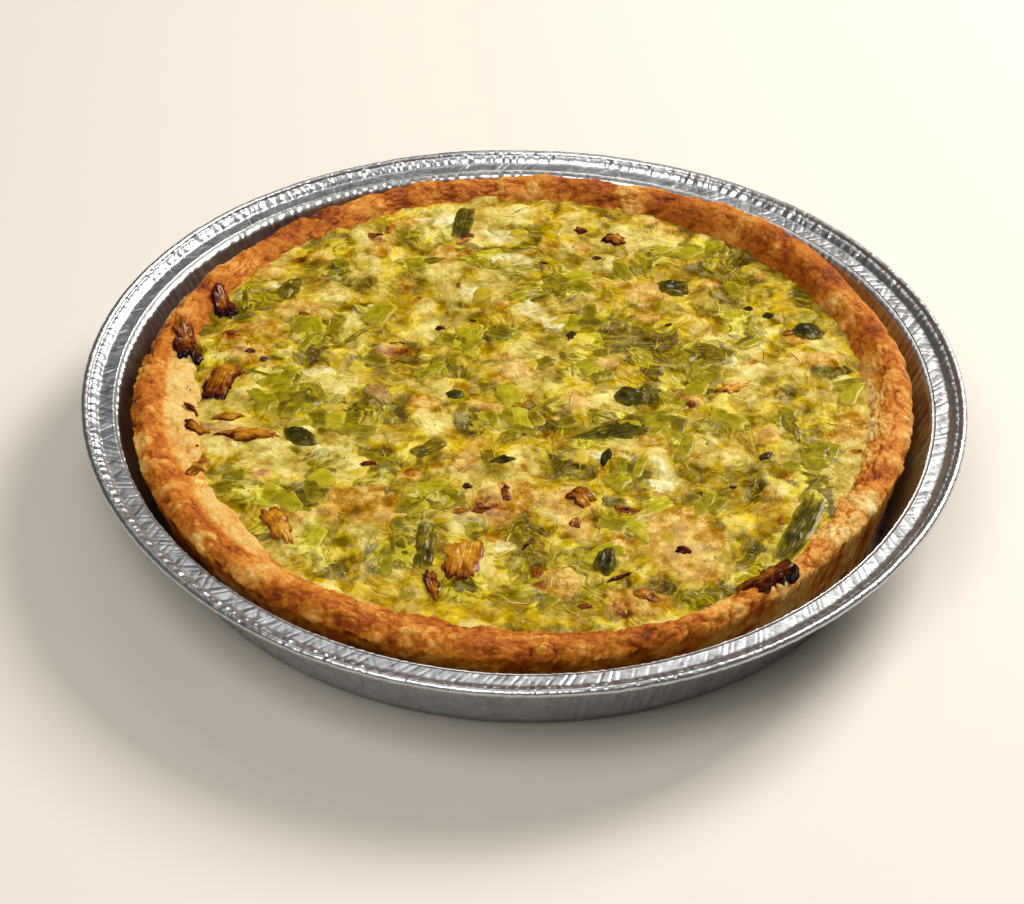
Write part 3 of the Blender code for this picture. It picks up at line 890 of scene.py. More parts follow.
# Where the filling shows what, as ovals: x, y, width, depth, turn
LEEK_SPOTS = (
    (-77, 38, 9, 15, 20), (-80, 31, 8, 6, 0), (-54, 54, 4, 11, 8),
    (-61, 22, 11, 9, 0), (-44, 35, 9, 6, 0), (-68, 3, 13, 8, 0),
    (-34, 59, 9, 5, 0), (-24, 74, 6, 14, -10), (-3, 55, 7, 7, 0),
    (-19, 65, 14, 8, -20), (-42, 14, 9, 10, 0), (-6, 25, 9, 7, 20),
    (-17, 20, 9, 5, 30), (-22, 7, 12, 6, 0), (10, 50, 12, 17, 10),
    (2, 43, 7, 6, 0), (47, 68, 26, 5, 5), (37, 63, 12, 5, 15),
    (30, 57, 7, 6, 0), (57, 46, 9, 8, 0), (61, 35, 15, 8, -20),
    (20, 33, 16, 9, 0), (26, 33, 8, 7, 0), (19, 23, 9, 9, 0),
    (7, 26, 7, 4, 0), (16, 11, 9, 12, 0), (22, 8, 6, 10, 0),
    (50, 17, 14, 13, 0), (62, 28, 12, 8, 0), (49, 4, 8, 9, 0),
    (90, 2, 4, 9, 0), (-65, -6, 14, 14, 20), (-54, -13, 12, 12, 0),
    (-44, -17, 7, 13, -15), (-52, -39, 7, 7, 0), (-57, -48, 15, 10, 10),
    (-70, -46, 14, 8, -30), (-53, -33, 9, 6, 0), (-36, -33, 10, 6, 0),
    (-22, -48, 15, 11, 0), (-27, -58, 8, 8, 0), (-3, -14, 17, 15, 0),
    (-15, -15, 9, 8, 0), (-32, -71, 11, 17, -25), (-52, -69, 12, 7, -30),
    (-47, -76, 8, 8, 0), (-66, -61, 5, 9, 20), (-12, -57, 9, 6, 0),
    (5, -81, 10, 11, 0), (9, -14, 8, 14, 30), (22, -12, 9, 9, 0),
    (34, -15, 24, 8, 20), (50, -15, 11, 9, 0), (17, -24, 11, 4, 0),
    (27, -34, 9, 12, 0), (28, -56, 10, 8, 0), (33, -51, 5, 9, 0),
    (48, -46, 10, 10, 0), (42, -23, 6, 4, 0), (72, -15, 7, 12, 10),
    (73, -36, 7, 13, 10), (76, -50, 8, 34, -8), (68, -62, 8, 12, -30),
    (60, -71, 10, 10, 0), (44, -83, 9, 8, 0), (54, -77, 9, 8, 0),
    (21, -70, 9, 10, 0), (80, -24, 9, 9, 0), (2, 12, 7, 5, 0))
YOLK_SPOTS = (
    (-33, 36, 7, 15, 15), (-42, 4, 5, 9, 0), (13, 69, 7, 9, 0),
    (50, 64, 12, 5, 0), (18, 46, 7, 5, 0), (-5, 7, 12, 8, 0),
    (76, 24, 12, 8, 0), (20, -33, 15, 5, -25), (35, 5, 6, 6, 0),
    (-17, -24, 7, 11, 20), (-78, -53, 9, 7, 0), (63, -52, 14, 12, 60),
    (-56, -12, 9, 8, 0), (75, 44, 7, 12, 0), (2, 75, 8, 14, 0),
    (-74, 37, 5, 6, 0), (-33, -72, 8, 12, -25), (30, 90, 12, 5, -20),
    (-48, 88, 16, 4, 35), (60, -42, 8, 10, 0), (-18, -91, 36, 8, 0),
    (-42, -84, 26, 7, -28), (-8, 86, 44, 6, 0))
CREAM_SPOTS = (
    (-6, 74, 9, 8, 0), (-5, 86, 15, 10, 0), (-15, 44, 9, 10, 0),
    (-9, 50, 10, 13, 0), (0, 36, 9, 8, 0), (7, 32, 9, 7, 0),
    (-55, 44, 7, 9, 0), (-47, 56, 9, 11, 0), (-72, 45, 5, 7, 0),
    (-56, 4.5, 9, 5, 10), (-29, 36, 6, 7, 0), (-66, 13, 7, 5, 0),
    (28, 19, 10, 13, 0), (51, 43, 5, 11, 0), (84, 9, 7, 9, 0),
    (66, 57, 9, 6, 0), (60, 5, 9, 6, 30), (36, -39, 8, 14, 0),
    (36, -29, 7, 6, 0), (16, -28, 13, 4, -8), (56, -29, 8, 9, 0),
    (65, -41, 6, 6, 0), (-37, -42, 8, 7, 0), (-77, -9, 8, 10, 0),
    (-67, -31, 15, 12, -30), (-79, -29, 10, 8, 0), (-9, -73, 5, 16, 0),
    (-3, -67, 7, 6, 0), (-86, -14, 8, 9, 0), (-60, -56, 13, 7, -20),
    (-44, -86, 30, 5, -28), (-49, 1, 5, 28, -6), (40, -62, 16, 14, 0),
    (-42, 72, 8, 6, 0), (-36, 76, 14, 8, 0), (20, 60, 9, 9, 0),
    (38, 1, 7, 9, 0), (-22, -16, 14, 7, 0), (-50, -30, 10, 5, 0),
    (60, 70, 10, 4, -30), (35, 70, 12, 5, 0), (-58, 32, 7, 6, 0),
    (-20, 73, 22, 10, 0), (-2, 62, 16, 9, 0), (34, 75, 22, 8, -18))
EGG_SPOTS = (
    (-15, 45, 8, 8, 0), (1, 37, 7, 6, 0), (7, 31, 8, 5, 0),
    (-57, 5, 8, 4, 15), (37, -38, 6, 11, 0), (16, -28, 11, 3, -8),
    (-4, -67, 6, 4, 0), (-71, 45, 4, 5, 0), (-8, 74, 7, 6, 0),
    (-4, 61, 11, 6, 0), (-26, 81, 12, 4, 5))
TOAST_SPOTS = (
    (-43, 66, 7, 10, 0), (-36, 81, 12, 4, 10), (-60, 60, 7, 5, 0),
    (-76, 52, 11, 6, 0), (-64, 35, 13, 8, 0), (-75, 26, 13, 6, 10),
    (-82, 20, 9, 7, 0), (-76, 14, 10, 10, 0), (-36, 15, 12, 7, 0),
    (-3, 6, 13, 8, 30), (33, 34, 9, 6, 0), (36, 47, 14, 10, 0),
    (52, 51, 7, 4, 20), (75, 25, 9, 5, 0), (80, 15, 15, 8, 0),
    (38, 82, 12, 5, -25), (88, -14, 9, 14, 0), (84, -18, 8, 8, 0),
    (-40, -49, 16, 10, 0), (-35, -54, 12, 8, 0), (-48, -54, 10, 8, 0),
    (-29, -39, 5, 5, 0), (-68, -41, 6, 4, 0), (-86, -37, 8, 9, 0),
    (-14, -31, 6, 13, -15), (-6, -51, 20, 13, 0), (0, -46, 12, 10, 0),
    (12, -49, 14, 10, 0), (14, -58, 9, 7, 0), (40, -60, 20, 22, 0),
    (25, -64, 6, 12, 0), (10, -79, 10, 11, 0), (29, -86, 16, 9, 10),
    (66, -19, 7, 7, 0), (46, -5, 5, 4, 0), (22, 11, 7, 6, 0),
    (14, -6, 7, 9, 0), (-27, -8, 9, 7, 0), (-10, -9, 7, 5, 0),
    (16, 68, 5, 5, 0), (-24, 63, 9, 10, 0), (-47, -47, 6, 5, 0),
    (-80, -22, 16, 7, 0), (-84, 2, 9, 10, 0), (44, -73, 14, 8, 0))
SCORCH_SPOTS = (
    (-45, 71, 6, 4, 0), (-42, 75, 3, 3, 0), (-19, 71, 5, 6, 0),
    (-63, 31, 4, 3, 0), (-82, 21, 6, 4, 0), (-77, 14, 4, 5, 0),
    (-36, 16, 9, 4, 0), (-31, 41, 4, 4, 0), (-8, -52, 10, 8, 0),
    (-15, -54, 6, 4, 0), (-4, -46, 3, 9, 10), (-29, -38, 3, 4, 0),
    (-68, -41, 4, 3, 0), (-87, -42, 6, 5, 0), (-85, -35, 6, 5, 0),
    (27, -51, 8, 3, 0), (26, -88, 7, 5, 0), (32, -83, 7, 4, 0),
    (5, -75, 3, 8, 0), (6, -80, 5, 3, 0), (89, -24, 4, 3, 0),
    (45, -6, 3, 3, 0), (-86, -20, 7, 4, 0), (-81, -16, 5, 3, 0),
    (-74, -24, 6, 4, 0), (-66, 59, 5, 4, 0), (-20, 49, 2, 5, 0))

# Each mark's ovals, how soft their edges are and the seed of their noise
MARKS = {
    "green": (LEEK_SPOTS, 0.25, 85), "yolk": (YOLK_SPOTS, 0.5, 87),
    "cream": (CREAM_SPOTS, 0.35, 83), "egg": (EGG_SPOTS, 0.3, 89),
    "toast": (TOAST_SPOTS, 0.5, 84), "scorch": (SCORCH_SPOTS, 0.6, 86)}


def marks_at(name, x, y):
    """How much of one of the marks lies at each place, from 0 to 1."""
    return patches(x, y, *MARKS[name])


def custard_height(x, y):
    """Level of the filling with curds and wrinkles; leek, curds and above
    all the browned places stand a little proud."""
    wx = x + 1.6 * clouds(x, y, 0 * x + 5, 5.0, 62)
    wy = y + 1.6 * clouds(x, y, 0 * x + 9, 5.0, 63)
    near, _, name = pebbles(wx, wy, 0 * x, 6.0, 64)
    curd = np.clip(1 - near ** 2, 0, 1) * ease(name, 0.3, 0.7)
    high = (0.30 * marks_at("green", x, y) + 0.45 * marks_at("toast", x, y)
            + 0.25 * marks_at("cream", x, y))
    seam = np.exp(-(clouds(wx, wy, 0 * x, 4.0, 69, 2) / 0.08) ** 2)
    return (custard_base(x, y) + 0.55 * curd + high - 0.35 - 0.15 * seam
            + 0.30 * clouds(x, y, 0 * x, 4.0, 68, 3))


def disc_grid(n):
    """A square grid bent onto a disc: direction and share of the radius."""
    b, c = np.meshgrid(np.linspace(-1, 1, n), np.linspace(-1, 1, n),
                       indexing="ij")
    wide = np.abs(b) > np.abs(c)
    safe_b = np.where(b == 0, 1e-9, b)
    safe_c = np.where(c == 0, 1e-9, c)
    angle = np.where(wide, np.pi / 4 * c / safe_b,
                     np.pi / 2 - np.pi / 4 * b / safe_c)
    return angle, np.where(wide, b, c)


def custard_marks(points):
    """What the custard's material reads at each point: the marks, with more
    leek, curd and browning in clouds between them, and the rise, which sets
    the painted shade and painted highlight."""
    x, y = points[:, 0], points[:, 1]
    notes = {name: marks_at(name, x, y) for name in MARKS}
    cloud = clouds(x, y, 0 * x, 12.0, 81, 3)
    # The rise: height above the base level, with some cloud; it sets the painted shade and
    # painted highlight.
    notes["rise"] = (0.355 + 0.2 * (points[:, 2] - custard_base(x, y))
                     + 0.07 * cloud)
    brown = clouds(x, y, 0 * x + 40, 7.0, 82, 3)
    for name, more in (("cream", ease(cloud, 0.12, 0.42)),
                       ("green", ease(-cloud, 0.1, 0.45)),
                       ("toast", ease(brown, 0.25, 0.55))):
        notes[name] = np.maximum(notes[name], 0.8 * more)
    return notes


def custard_top():
    """The filling: a square grid bent onto a disc, closed underneath."""
    n = 309
    angle, radius = disc_grid(n)
    reach = (fill_radius(angle + np.pi * (radius < 0)) + TUCK) * radius
    x, y = reach * np.cos(angle), reach * np.sin(angle)
    top = np.stack([x, y, custard_height(x, y)], -1).reshape(-1, 3)
    k = np.arange(n)
    rim = np.concatenate([k[:-1] * n, (n - 1) * n + k[:-1],
                          k[:0:-1] * n + n - 1, k[:0:-1]])
    low = top[rim] * [1, 1, 0] + [0, 0, CUSTARD_FLOOR]
    count, first = len(rim), len(top)
    i = np.arange(count)
    i1 = (i + 1) % count
    skirt = np.stack([rim[i], first + i, first + i1, rim[i1]], 1)
    bottom = np.stack([first + i, np.full(count, first + count), first + i1], 1)
    points = np.concatenate([top, low, [[0, 0, CUSTARD_FLOOR]]])
    return make_piece("custard", points, [grid_faces(n, n), skirt, bottom],
                      CUSTARD, custard_marks(points),
                      replaces=["filling"])


# ---------------------------------------------------------------- toppings

def food_height(x, y):
    """Level of whatever is on top: the filling, or the pastry round it."""
    a, r = np.arctan2(y, x), np.hypot(x, y)
    return np.maximum(custard_height(x, y), rim_surface(a, r)[0] + 0.3)


def flat_level(x, y):
    """Level on which thin scraps lie in the filling, half drowned by it."""
    return custard_base(x, y) + 0.12


def outline(kind, t):
    """The five cut shapes, as a point on the edge for each angle t: a tile is
    a squared oval, a hex has six sides, a leaf and a wedge taper, a blob
    wobbles."""
    c, s = np.cos(t), np.sin(t)
    if kind == "tile":
        k = (np.abs(c) ** 7 + np.abs(s) ** 7) ** (-1 / 7)
        return c * k, s * k
    if kind == "hex":
        k = np.cos(np.pi / 6) / np.cos((t + np.pi / 6) % (np.pi / 3) - np.pi / 6)
        return c * k, s * k
    if kind == "leaf":
        return c, s * (1 - 0.55 * np.abs(c) ** 1.5)
    if kind == "wedge":
        return c, s * (0.75 - 0.25 * c)
    k = 1 + 0.10 * np.cos(3 * t + 0.7) + 0.06 * np.cos(5 * t + 2.0)
    return c * k, s * k


def scrap_faces(count, rings, steps):
    """Quads between each scrap's rings, and fans to its two poles."""
    per = (rings + 1) * steps + 2
    j = np.arange(steps)
    j1 = (j + 1) % steps
    low = rings * steps
    fan = np.stack([j, j1, np.full(steps, per - 2)], 1)
    base = np.stack([low + j1, low + j, np.full(steps, per - 1)], 1)
    shift = (np.arange(count) * per)[:, None, None]
    quads = grid_faces(rings + 1, steps, wrap_v=True)[None] + shift
    fans = np.concatenate([fan, base])[None] + shift
    return [quads.reshape(-1, 4), fans.reshape(-1, 3)]


def shreds(name, kind, spots, rings, steps, material, sink, ragged,
           wrinkle, seed, replaces=(), level=food_height, spread=0.8,
           drown=0.0, crisp=0.0):
    """Thin closed scraps lying on a level, such as the top of the food.

    Each row of spots is x, y, length, width, turn in degrees, stand, arch
    and tone.  A scrap is its outline shrunk ring by ring to its middle; it
    stands so many mm above the level in the middle, bends up or down by
    arch at its ends and dives sink mm under the surface at its edge.  A small
    spread puts the rings near the edge, for a flat top; drown says how far
    the edge takes the colour of the egg, crisp how far it is burnt.
    """
    spots = np.atleast_2d(np.array(spots, float))
    x0, y0, long, wide, turn, stand, arch, tone = (
        spots[:, k, None, None] for k in range(8))
    turn = np.radians(turn)
    count = len(spots)
    share = (np.arange(1, rings + 1) / rings) ** spread
    t = (np.arange(steps) / steps * TURN)[None, None, :]
    own = np.arange(count)[:, None, None] * 7.3 + 0 * t
    ox, oy = outline(kind, t)
    edge = 1 + ragged * clouds(3.2 * np.cos(t) + own, 3.2 * np.sin(t) + 0 * own,
                               own, 1.0, seed, 2)
    rho = share[None, :, None]
    lx = ox * edge * rho * long / 2
    ly = oy * edge * rho * wide / 2
    lx = np.concatenate([lx, lx[:, -1:] * 0.96], 1)
    ly = np.concatenate([ly, ly[:, -1:] * 0.96], 1)
    rho = np.concatenate([share, [1.0]])[None, :, None]
    x = x0 + lx * np.cos(turn) - ly * np.sin(turn)
    y = y0 + lx * np.sin(turn) + ly * np.cos(turn)
    floor = level(x, y)
    dome = stand * (1 - rho ** 7) - sink * rho ** 9
    bend = arch * (1 - (2 * lx / long) ** 2 * 1.6)
    folds = wrinkle * clouds(lx * 0.35 + own, ly * 1.1, own, 1.0, seed + 5, 2)
    z = floor + dome + bend + folds * (1 - rho ** 4)
    z[:, -1] = floor[:, -1] - SCRAP_ROOT
    mid = level(x0, y0)
    mid_top = mid + stand + arch + 0.5 * folds[:, :1, :1]
    poles = np.stack([np.repeat(x0[:, 0], 2, 1), np.repeat(y0[:, 0], 2, 1),
                      np.concatenate([mid_top, mid - SCRAP_ROOT], 1)[..., 0]], -1)
    body = np.stack([x, y, z], -1).reshape(count, -1, 3)
    points = np.concatenate([body, poles], 1).reshape(-1, 3)
    shade = tone + crisp * (0.12 + 0.4 * lx / long - 0.4 * rho ** 3)
    sunk = drown * rho ** 6 + 0 * lx
    u, v, shade, sunk = (
        np.concatenate([values.reshape(count, -1), np.zeros((count, 2)) + at_poles],
                       1).ravel()
        for values, at_poles in ((lx + own[..., :1], own[:, 0, :1]), (ly, 0),
                                 (shade, tone[:, 0]), (sunk, 0)))
    return make_piece(name, points, scrap_faces(count, rings, steps), material,
                      {"tone": shade, "drown": sunk},
                      uv=np.stack([u, v], 1), replaces=list(replaces))


# name, cut, x, y, length, width, turn, stand, arch, tone, slot
TOPPINGS = (
    ("leek_tile_back", "tile", -19.5, 80, 17, 5.6, 84, 0.5, 0, 0.22, "leek_olive"),
    ("mushroom_bit", "blob", 25, 72.5, 6.5, 5, -10, 1.1, 0, 0.34, "onion_plum"),
    ("leek_ribbon_back", "leaf", 47, 65.5, 25, 4.6, 4, 0.3, 0, 0.60, "leek_green"),
    ("leek_crescent", "leaf", -29, 59.3, 11, 3.6, 14, 0.4, 0, 0.42, "leek_green"),
    ("leek_hex_back", "hex", 42, 48.8, 10.5, 10, 12, 0.8, 0, 0.18, "leek_dark"),
    ("leek_soft_back", "blob", 8.5, 49, 11, 15, 20, 0.12, 0, 0.47, "leek_soft"),
    ("leek_ring_left", "blob", -67.5, 44.2, 12, 7, 75, 0.2, 0, 0.28, "leek_green"),
    ("onion_char_back", "blob", -85.6, 34.5, 14, 6.5, 113, 1.2, 0, 0.16, "onion_charred"),
    ("leek_hex_right", "hex", 79.3, 28.8, 10.5, 9.5, -20, 0.9, 0, 0.12, "leek_dark"),
    ("leek_thread", "leaf", -47.5, 21.5, 18, 1.9, 49, 0.5, 0, 0.50, "leek_olive"),
    ("leek_round_right", "blob", 49.8, 16.2, 13, 13.5, 0, 0.12, 0, 0.36, "leek_olive"),
    ("onion_char_side", "blob", -93.2, 14.5, 17.5, 7.2, 108, 1.4, 0, 0.24, "onion_plum"),
    ("onion_amber", "tile", -82, -0.8, 15.5, 7.6, 76, 1.0, 0.5, 0.36, "onion_amber"),
    ("onion_fan", "wedge", 57, 1.8, 10.5, 6, 32, 0.4, 0, 0.72, "onion_pale"),
    ("leek_dark_middle", "blob", 28.8, -3.6, 9.5, 7.5, -8, 1.0, 0, 0.12, "leek_dark"),
    ("mushroom_slice", "blob", -39.4, -4.6, 11, 6.4, -54, 0.9, 0, 0.55, "mushroom"),
    ("leek_small_middle", "hex", -18.6, -4.4, 5.8, 4.6, 8, 0.6, 0, 0.14, "leek_dark"),
    ("leek_wide_left", "tile", -61.5, -7.5, 19, 12, 30, 0.12, 0, 0.42, "leek_soft"),
    ("leek_strip_right", "leaf", 71.3, -14.5, 12, 4.4, -72, 0.3, 0, 0.45, "leek_green"),
    ("leek_leaf_long", "leaf", 27.5, -17.6, 33, 8.6, 17, 0.4, 0, 0.22, "leek_dark"),
    ("onion_strip_top", "leaf", -78.6, -16.9, 8, 3, 14, 0.7, 0, 0.48, "onion_caramel"),
    ("onion_strip_left", "wedge", -86.2, -22.8, 7.5, 4.8, -25, 0.8, 0, 0.46, "onion_caramel"),
    ("onion_strip_long", "leaf", -72.6, -24, 17, 5, 3, 0.8, 0.4, 0.52, "onion_caramel"),
    ("leek_almond", "leaf", -58.8, -24, 12.4, 6.6, -38, 0.8, 0.4, 0.05, "leek_dark"),
    ("leek_tile_olive", "tile", -24.6, -27.6, 10.8, 5, 40, 0.6, 0, 0.38, "leek_olive"),
    ("onion_chip", "tile", 15.4, -46.8, 8, 5.6, -50, 0.6, 0.7, 0.36, "onion_plum"),
    ("leek_wide_near", "blob", -55.5, -48.5, 13, 9, 25, 0.12, 0, 0.32, "leek_soft"),
    ("leek_leaf_side", "tile", 71, -56.6, 31, 7.6, 68, 0.19, 0.1, 0.24, "leek_dark"),
    ("onion_curl", "wedge", -61.2, -60.4, 16, 8.6, -62, 1.0, 0.6, 0.62, "onion_pale"),
    ("leek_stalk_near", "tile", -23.8, -66.6, 18, 5.2, 88, 0.6, 0, 0.32, "leek_green"),
    ("leek_block_near", "tile", -14.4, -72, 15, 8.8, 85, 0.5, 0, 0.55, "onion_amber"),
    ("leek_folded", "blob", 21.4, -71.2, 9.4, 6, 82, 1.2, 0, 0.12, "leek_dark"),
    ("onion_shallot", "blob", 62.6, -77, 14, 8.4, 208, 1.9, 0, 0.20, "onion_charred"),
    ("onion_root", "wedge", -21.4, -81.2, 11, 4.8, -74, 1.0, 0, 0.34, "onion_plum"),
)


# x, y, length, width, turn, stand, arch, tone
CHARRED_BITS = (
    (-76, 13, 2.8, 2.2, 0, 0.4, 0, 0.10), (-72, 10, 2.4, 1.8, 40, 0.4, 0, 0.12),
    (-58, 27, 3, 2, 0, 0.3, 0, 0.20), (-24, 26, 3, 2.4, 0, 0.3, 0, 0.15),
    (15.5, 77.5, 4, 3, 0, 0.4, 0, 0.15), (20, 63, 3, 2, 0, 0.3, 0, 0.20),
    (-14, -43, 2.6, 2, 0, 0.3, 0, 0.10), (-4, -44, 2, 1.8, 0, 0.3, 0, 0.15),
    (-40, -35, 5, 2, 10, 0.3, 0, 0.20), (41, -66.5, 4, 3, 0, 0.4, 0, 0.15),
    (66.5, -53, 4, 2, 70, 0.4, 0, 0.45), (61, -82, 5, 3, 30, 0.4, 0, 0.08),
    (73.5, 28, 3, 3, 0, 0.4, 0, 0.35), (-45.5, 72.5, 4.5, 3, 20, 0.5, 0, 0.30),
    (-18, 73, 5, 3, 0, 0.4, 0, 0.30), (-36, 18.5, 5, 0.9, 12, 0.4, 0, 0.12),
    (14, -57, 5, 3, 80, 0.4, 0, 0.35), (25, -76.5, 8, 1.2, 30, 0.5, 0, 0.20),
    (2, -65, 6, 1, 55, 0.4, 0, 0.20), (16, -87, 3.4, 2, 0, 0.4, 0, 0.25),
    (-89, -14, 5, 1.2, -40, 0.4, 0, 0.20), (-63, 31, 3, 2, 30, 0.3, 0, 0.30),
    (-10, -53, 6, 3, 15, 0.3, 0, 0.25), (-4, -47, 2.5, 6, 10, 0.3, 0, 0.30),
    (-82, 22, 4, 2.4, 30, 0.4, 0, 0.25), (27, -51, 6, 1.6, 5, 0.3, 0, 0.30),
    (-85, -40, 5, 3, 40, 0.4, 0, 0.35), (31, -84, 6, 2.4, -15, 0.3, 0, 0.40),
    (5, -76, 2, 6, 0, 0.3, 0, 0.35), (45, -6, 2.6, 2, 0, 0.3, 0, 0.30))
HERB_BITS = (
    (63, 39, 3, 2.6, 0, 0.4, 0, 0.05), (68.5, 36, 4, 3, 20, 0.5, 0, 0.04),
    (12.5, 24, 5.5, 3, 80, 0.5, 0, 0.05), (-4, -22, 3, 2.4, 50, 0.4, 0, 0.05),
    (22, -30, 7, 3, 70, 0.6, 0, 0.04), (-5, -32, 7, 3, 8, 0.4, 0, 0.15),
    (64, -27, 5, 3, 50, 0.5, 0, 0.10), (-15, 30, 2, 1.4, 0, 0.3, 0, 0.10),
    (40, 30, 2.4, 1.4, 30, 0.3, 0, 0.10), (-50, -20, 3, 1.4, 60, 0.3, 0, 0.10),
    (5, 60, 2.2, 1.6, 0, 0.3, 0, 0.10), (55, -40, 2.4, 1.6, 20, 0.3, 0, 0.10))


def toppings():
    """The named scraps of leek, onion and mushroom, one piece each: flush
    ones lie drowned in the egg, onion is ragged and burnt at one end."""
    finishes = {"leek": LEEK, "onion": ONION, "mushroom": MUSHROOM}
    for k, (name, kind, *spot, slot) in enumerate(TOPPINGS):
        food = slot.split("_")[0]
        onion = food == "onion"
        flush = spot[5] < 0.2
        shreds("top_" + name, kind, [spot], 14, 56, finishes[food],
               sink=0.35 if flush else 0.2,
               ragged=0.40 if onion else 0.16, wrinkle=0.15 if flush else 0.4,
               seed=200 + k, replaces=[name], crisp=1.0 if onion else 0.2,
               drown=0.9 if flush else 0.0 if onion else 0.35)


def scatter(count, seed, reach):
    """A random generator, and the x and y of spots thrown evenly on a disc."""
    rng = np.random.default_rng(seed)
    r = reach * np.sqrt(rng.random(count))
    a = rng.random(count) * TURN
    return rng, r * np.cos(a), r * np.sin(a)


def strands(name, count, material, seed, width, tone):
    """Fine fibres: a four-sided strip along a shallow arc on the surface."""
    rng, x0, y0 = scatter(count, seed, 90)
    n = 8
    s = np.linspace(-0.5, 0.5, n)[None]
    long = rng.uniform(2, 7, (count, 1))
    turn = rng.uniform(0, TURN, (count, 1))
    bow = rng.uniform(-0.2, 0.2, (count, 1)) * long
    lx, ly = s * long, bow * (s * s - 0.1) * 2
    x = x0[:, None] + lx * np.cos(turn) - ly * np.sin(turn)
    y = y0[:, None] + lx * np.sin(turn) + ly * np.cos(turn)
    inside = np.minimum(1, STRAND_REACH / np.hypot(x, y))
    x, y = x * inside, y * inside
    z = custard_height(x, y) + rng.uniform(-0.1, 0.1, (count, 1))
    thin = width * rng.uniform(0.6, 1.4, (count, 1)) * (1 - 3.6 * s * s)
    side = turn + np.pi / 2
    path = np.stack([x, y, z], -1)[:, :, None, :]
    across = np.stack([np.cos(side), np.sin(side), 0 * side], -1)[:, :, None, :]
    corner = (np.arange(4) * np.pi / 2)[None, None, :, None]
    ring = np.cos(corner) * across + 0.6 * np.sin(corner) * [0, 0, 1.0]
    points = path + thin[:, :, None, None] * ring
    quads = grid_faces(n, 4, wrap_v=True)
    caps = np.array([[3, 2, 1, 0], [4 * n - 4, 4 * n - 3, 4 * n - 2, 4 * n - 1]])
    shift = (np.arange(count) * 4 * n)[:, None, None]
    faces = [(f[None] + shift).reshape(-1, 4) for f in (quads, caps)]
    shade = np.repeat(rng.uniform(*tone, count), 4 * n)
    return make_piece(name, points.reshape(-1, 3), faces, material,
                      {"tone": shade}, uv=np.zeros((count * 4 * n, 2)))


# name, cut, seed, on which spots, most, length, width, tone, finish, slot
SOFT_SCRAPS = (
    ("leek_squares", "tile", 301, LEEK_SPOTS, 90, (4, 10), (3, 6), (0.15, 0.65),
     SOFT_LEEK, "leek_olive"),
    ("leek_blades", "tile", 302, LEEK_SPOTS, 60, (5, 12), (1.2, 3.0), (0.1, 0.6),
     SOFT_LEEK, "leek_green"),
    ("soft_leek", "tile", 303, LEEK_SPOTS, 60, (5, 12), (3, 7), (0.35, 0.8),
     SOFT_LEEK, "leek_soft"),
    ("onion_petals", "blob", 304, CREAM_SPOTS + TOAST_SPOTS, 16, (4, 9), (3, 6),
     (0.1, 0.7), PETAL, "onion_pale"))


def soft_scraps():
    """Thin scraps drowned in the filling, thrown on their own spots."""
    for name, kind, seed, where, most, long, wide, tone, finish, slot in SOFT_SCRAPS:
        rng, x, y = scatter(700, seed, 90)
        keep = patches(x, y, where, 0.3, 85) > 0.5
        x, y = x[keep][:most], y[keep][:most]
        n = len(x)
        spots = np.stack([x, y, rng.uniform(*long, n), rng.uniform(*wide, n),
                          rng.uniform(0, 360, n), rng.uniform(0.05, 0.4, n),
                          rng.uniform(-0.1, 0.2, n), rng.uniform(*tone, n)], 1)
        shreds(name, kind, spots, 4, 20, finish, sink=0.15, ragged=0.34,
               wrinkle=0.12, seed=seed + 10, level=flat_level, spread=0.5,
               drown=1.0)


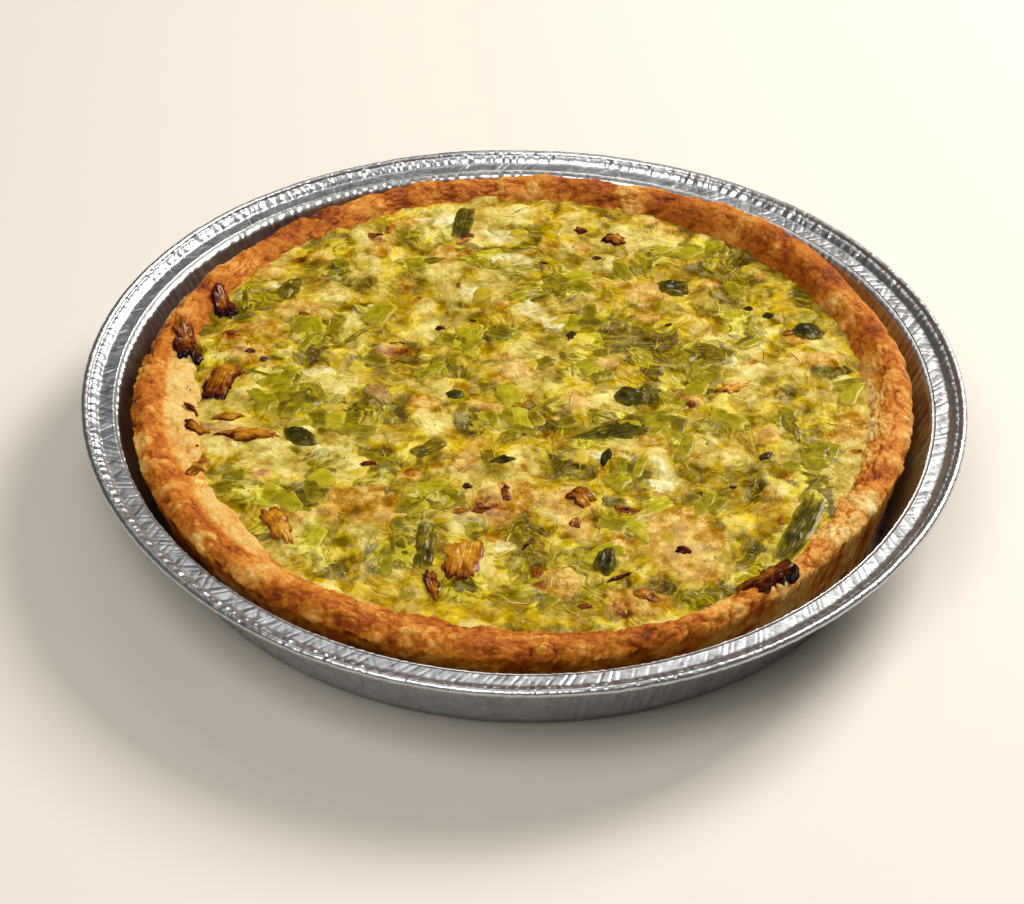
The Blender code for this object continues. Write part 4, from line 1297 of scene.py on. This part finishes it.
def small_things():
    """Charred bits, herbs and fibres, each kind joined in a piece."""
    for name, kind, spots, finish, slot, seed in (
            ("charred_bits", "blob", CHARRED_BITS, ONION, "onion_charred", 341),
            ("herb_bits", "leaf", HERB_BITS, LEEK, "leek_dark", 342)):
        shreds(name, kind, spots, 6, 18, finish, sink=0.15, ragged=0.4,
               wrinkle=0.5, seed=seed)
    n = 900
    rng, x, y = scatter(n, 321, 92)
    size = 0.35 + 0.9 * rng.random(n) ** 3
    spots = np.stack([x, y, size, size * rng.uniform(0.4, 0.9, n),
                      rng.uniform(0, 360, n), rng.uniform(0.1, 0.25, n),
                      0 * x, rng.uniform(0.0, 0.4, n)], 1)
    shreds("herb_flecks", "hex", spots, 1, 6, FLECK, sink=0.1,
           ragged=0.3, wrinkle=0.1, seed=322)
    strands("pale_fibres", 300, LEEK, 331, 0.16, (0.7, 1.0))
    strands("green_fibres", 120, LEEK, 332, 0.12, (0.2, 0.5))


tin_rim()
tin_wall()
pastry_case()
custard_top()
toppings()
soft_scraps()
small_things()


# ---------------------------------------------------------------- the studio

def table_top():
    """A pale, matt table just under the tin."""
    half, low = 3.0, -0.0002
    mesh = bpy.data.meshes.new("table_top")
    corners = [(-half, -half, low), (half, -half, low), (half, half, low),
               (-half, half, low)]
    mesh.from_pydata(corners, [], [(0, 1, 2, 3)])
    floor = bpy.data.objects.new("table_top", mesh)
    bpy.context.scene.collection.objects.link(floor)
    mat, tree, shader = new_material("pale_table")
    plug(tree, shader, {"Base Color": colour("#C9C4BC"), "Roughness": 0.7})
    mesh.materials.append(mat)


def studio():
    """A key light from the far right, a faint panel behind, a broad fill in
    front, and a dim room for the foil to reflect."""
    world = bpy.data.worlds.new("room")
    bpy.context.scene.world = world
    world.use_nodes = True
    plug(world.node_tree, world.node_tree.nodes["Background"],
         {"Color": colour("#B8B2A8"), "Strength": 0.22})
    for name, place, size, power, code in (
            ("key", (0.75, 0.75, 0.95), 0.6, 29.0, "#FFF9F0"),
            ("panel", (-0.1, 0.85, 1.35), 0.6, 1.8, "#FFFDFA"),
            ("front", (-0.3, -0.7, 1.3), 0.9, 16.5, "#FFFBF4")):
        data = bpy.data.lights.new(name, "AREA")
        data.shape = "SQUARE"
        data.size = size
        data.energy = power
        data.color = colour(code)[:3]
        lamp = bpy.data.objects.new(name, data)
        lamp.location = place
        aim = Vector((0, 0, 0.02)) - Vector(place)
        lamp.rotation_euler = aim.to_track_quat("-Z", "Y").to_euler()
        bpy.context.scene.collection.objects.link(lamp)
    bpy.context.scene.view_settings.view_transform = "Standard"
    bpy.context.scene.view_settings.look = "None"


table_top()
studio()
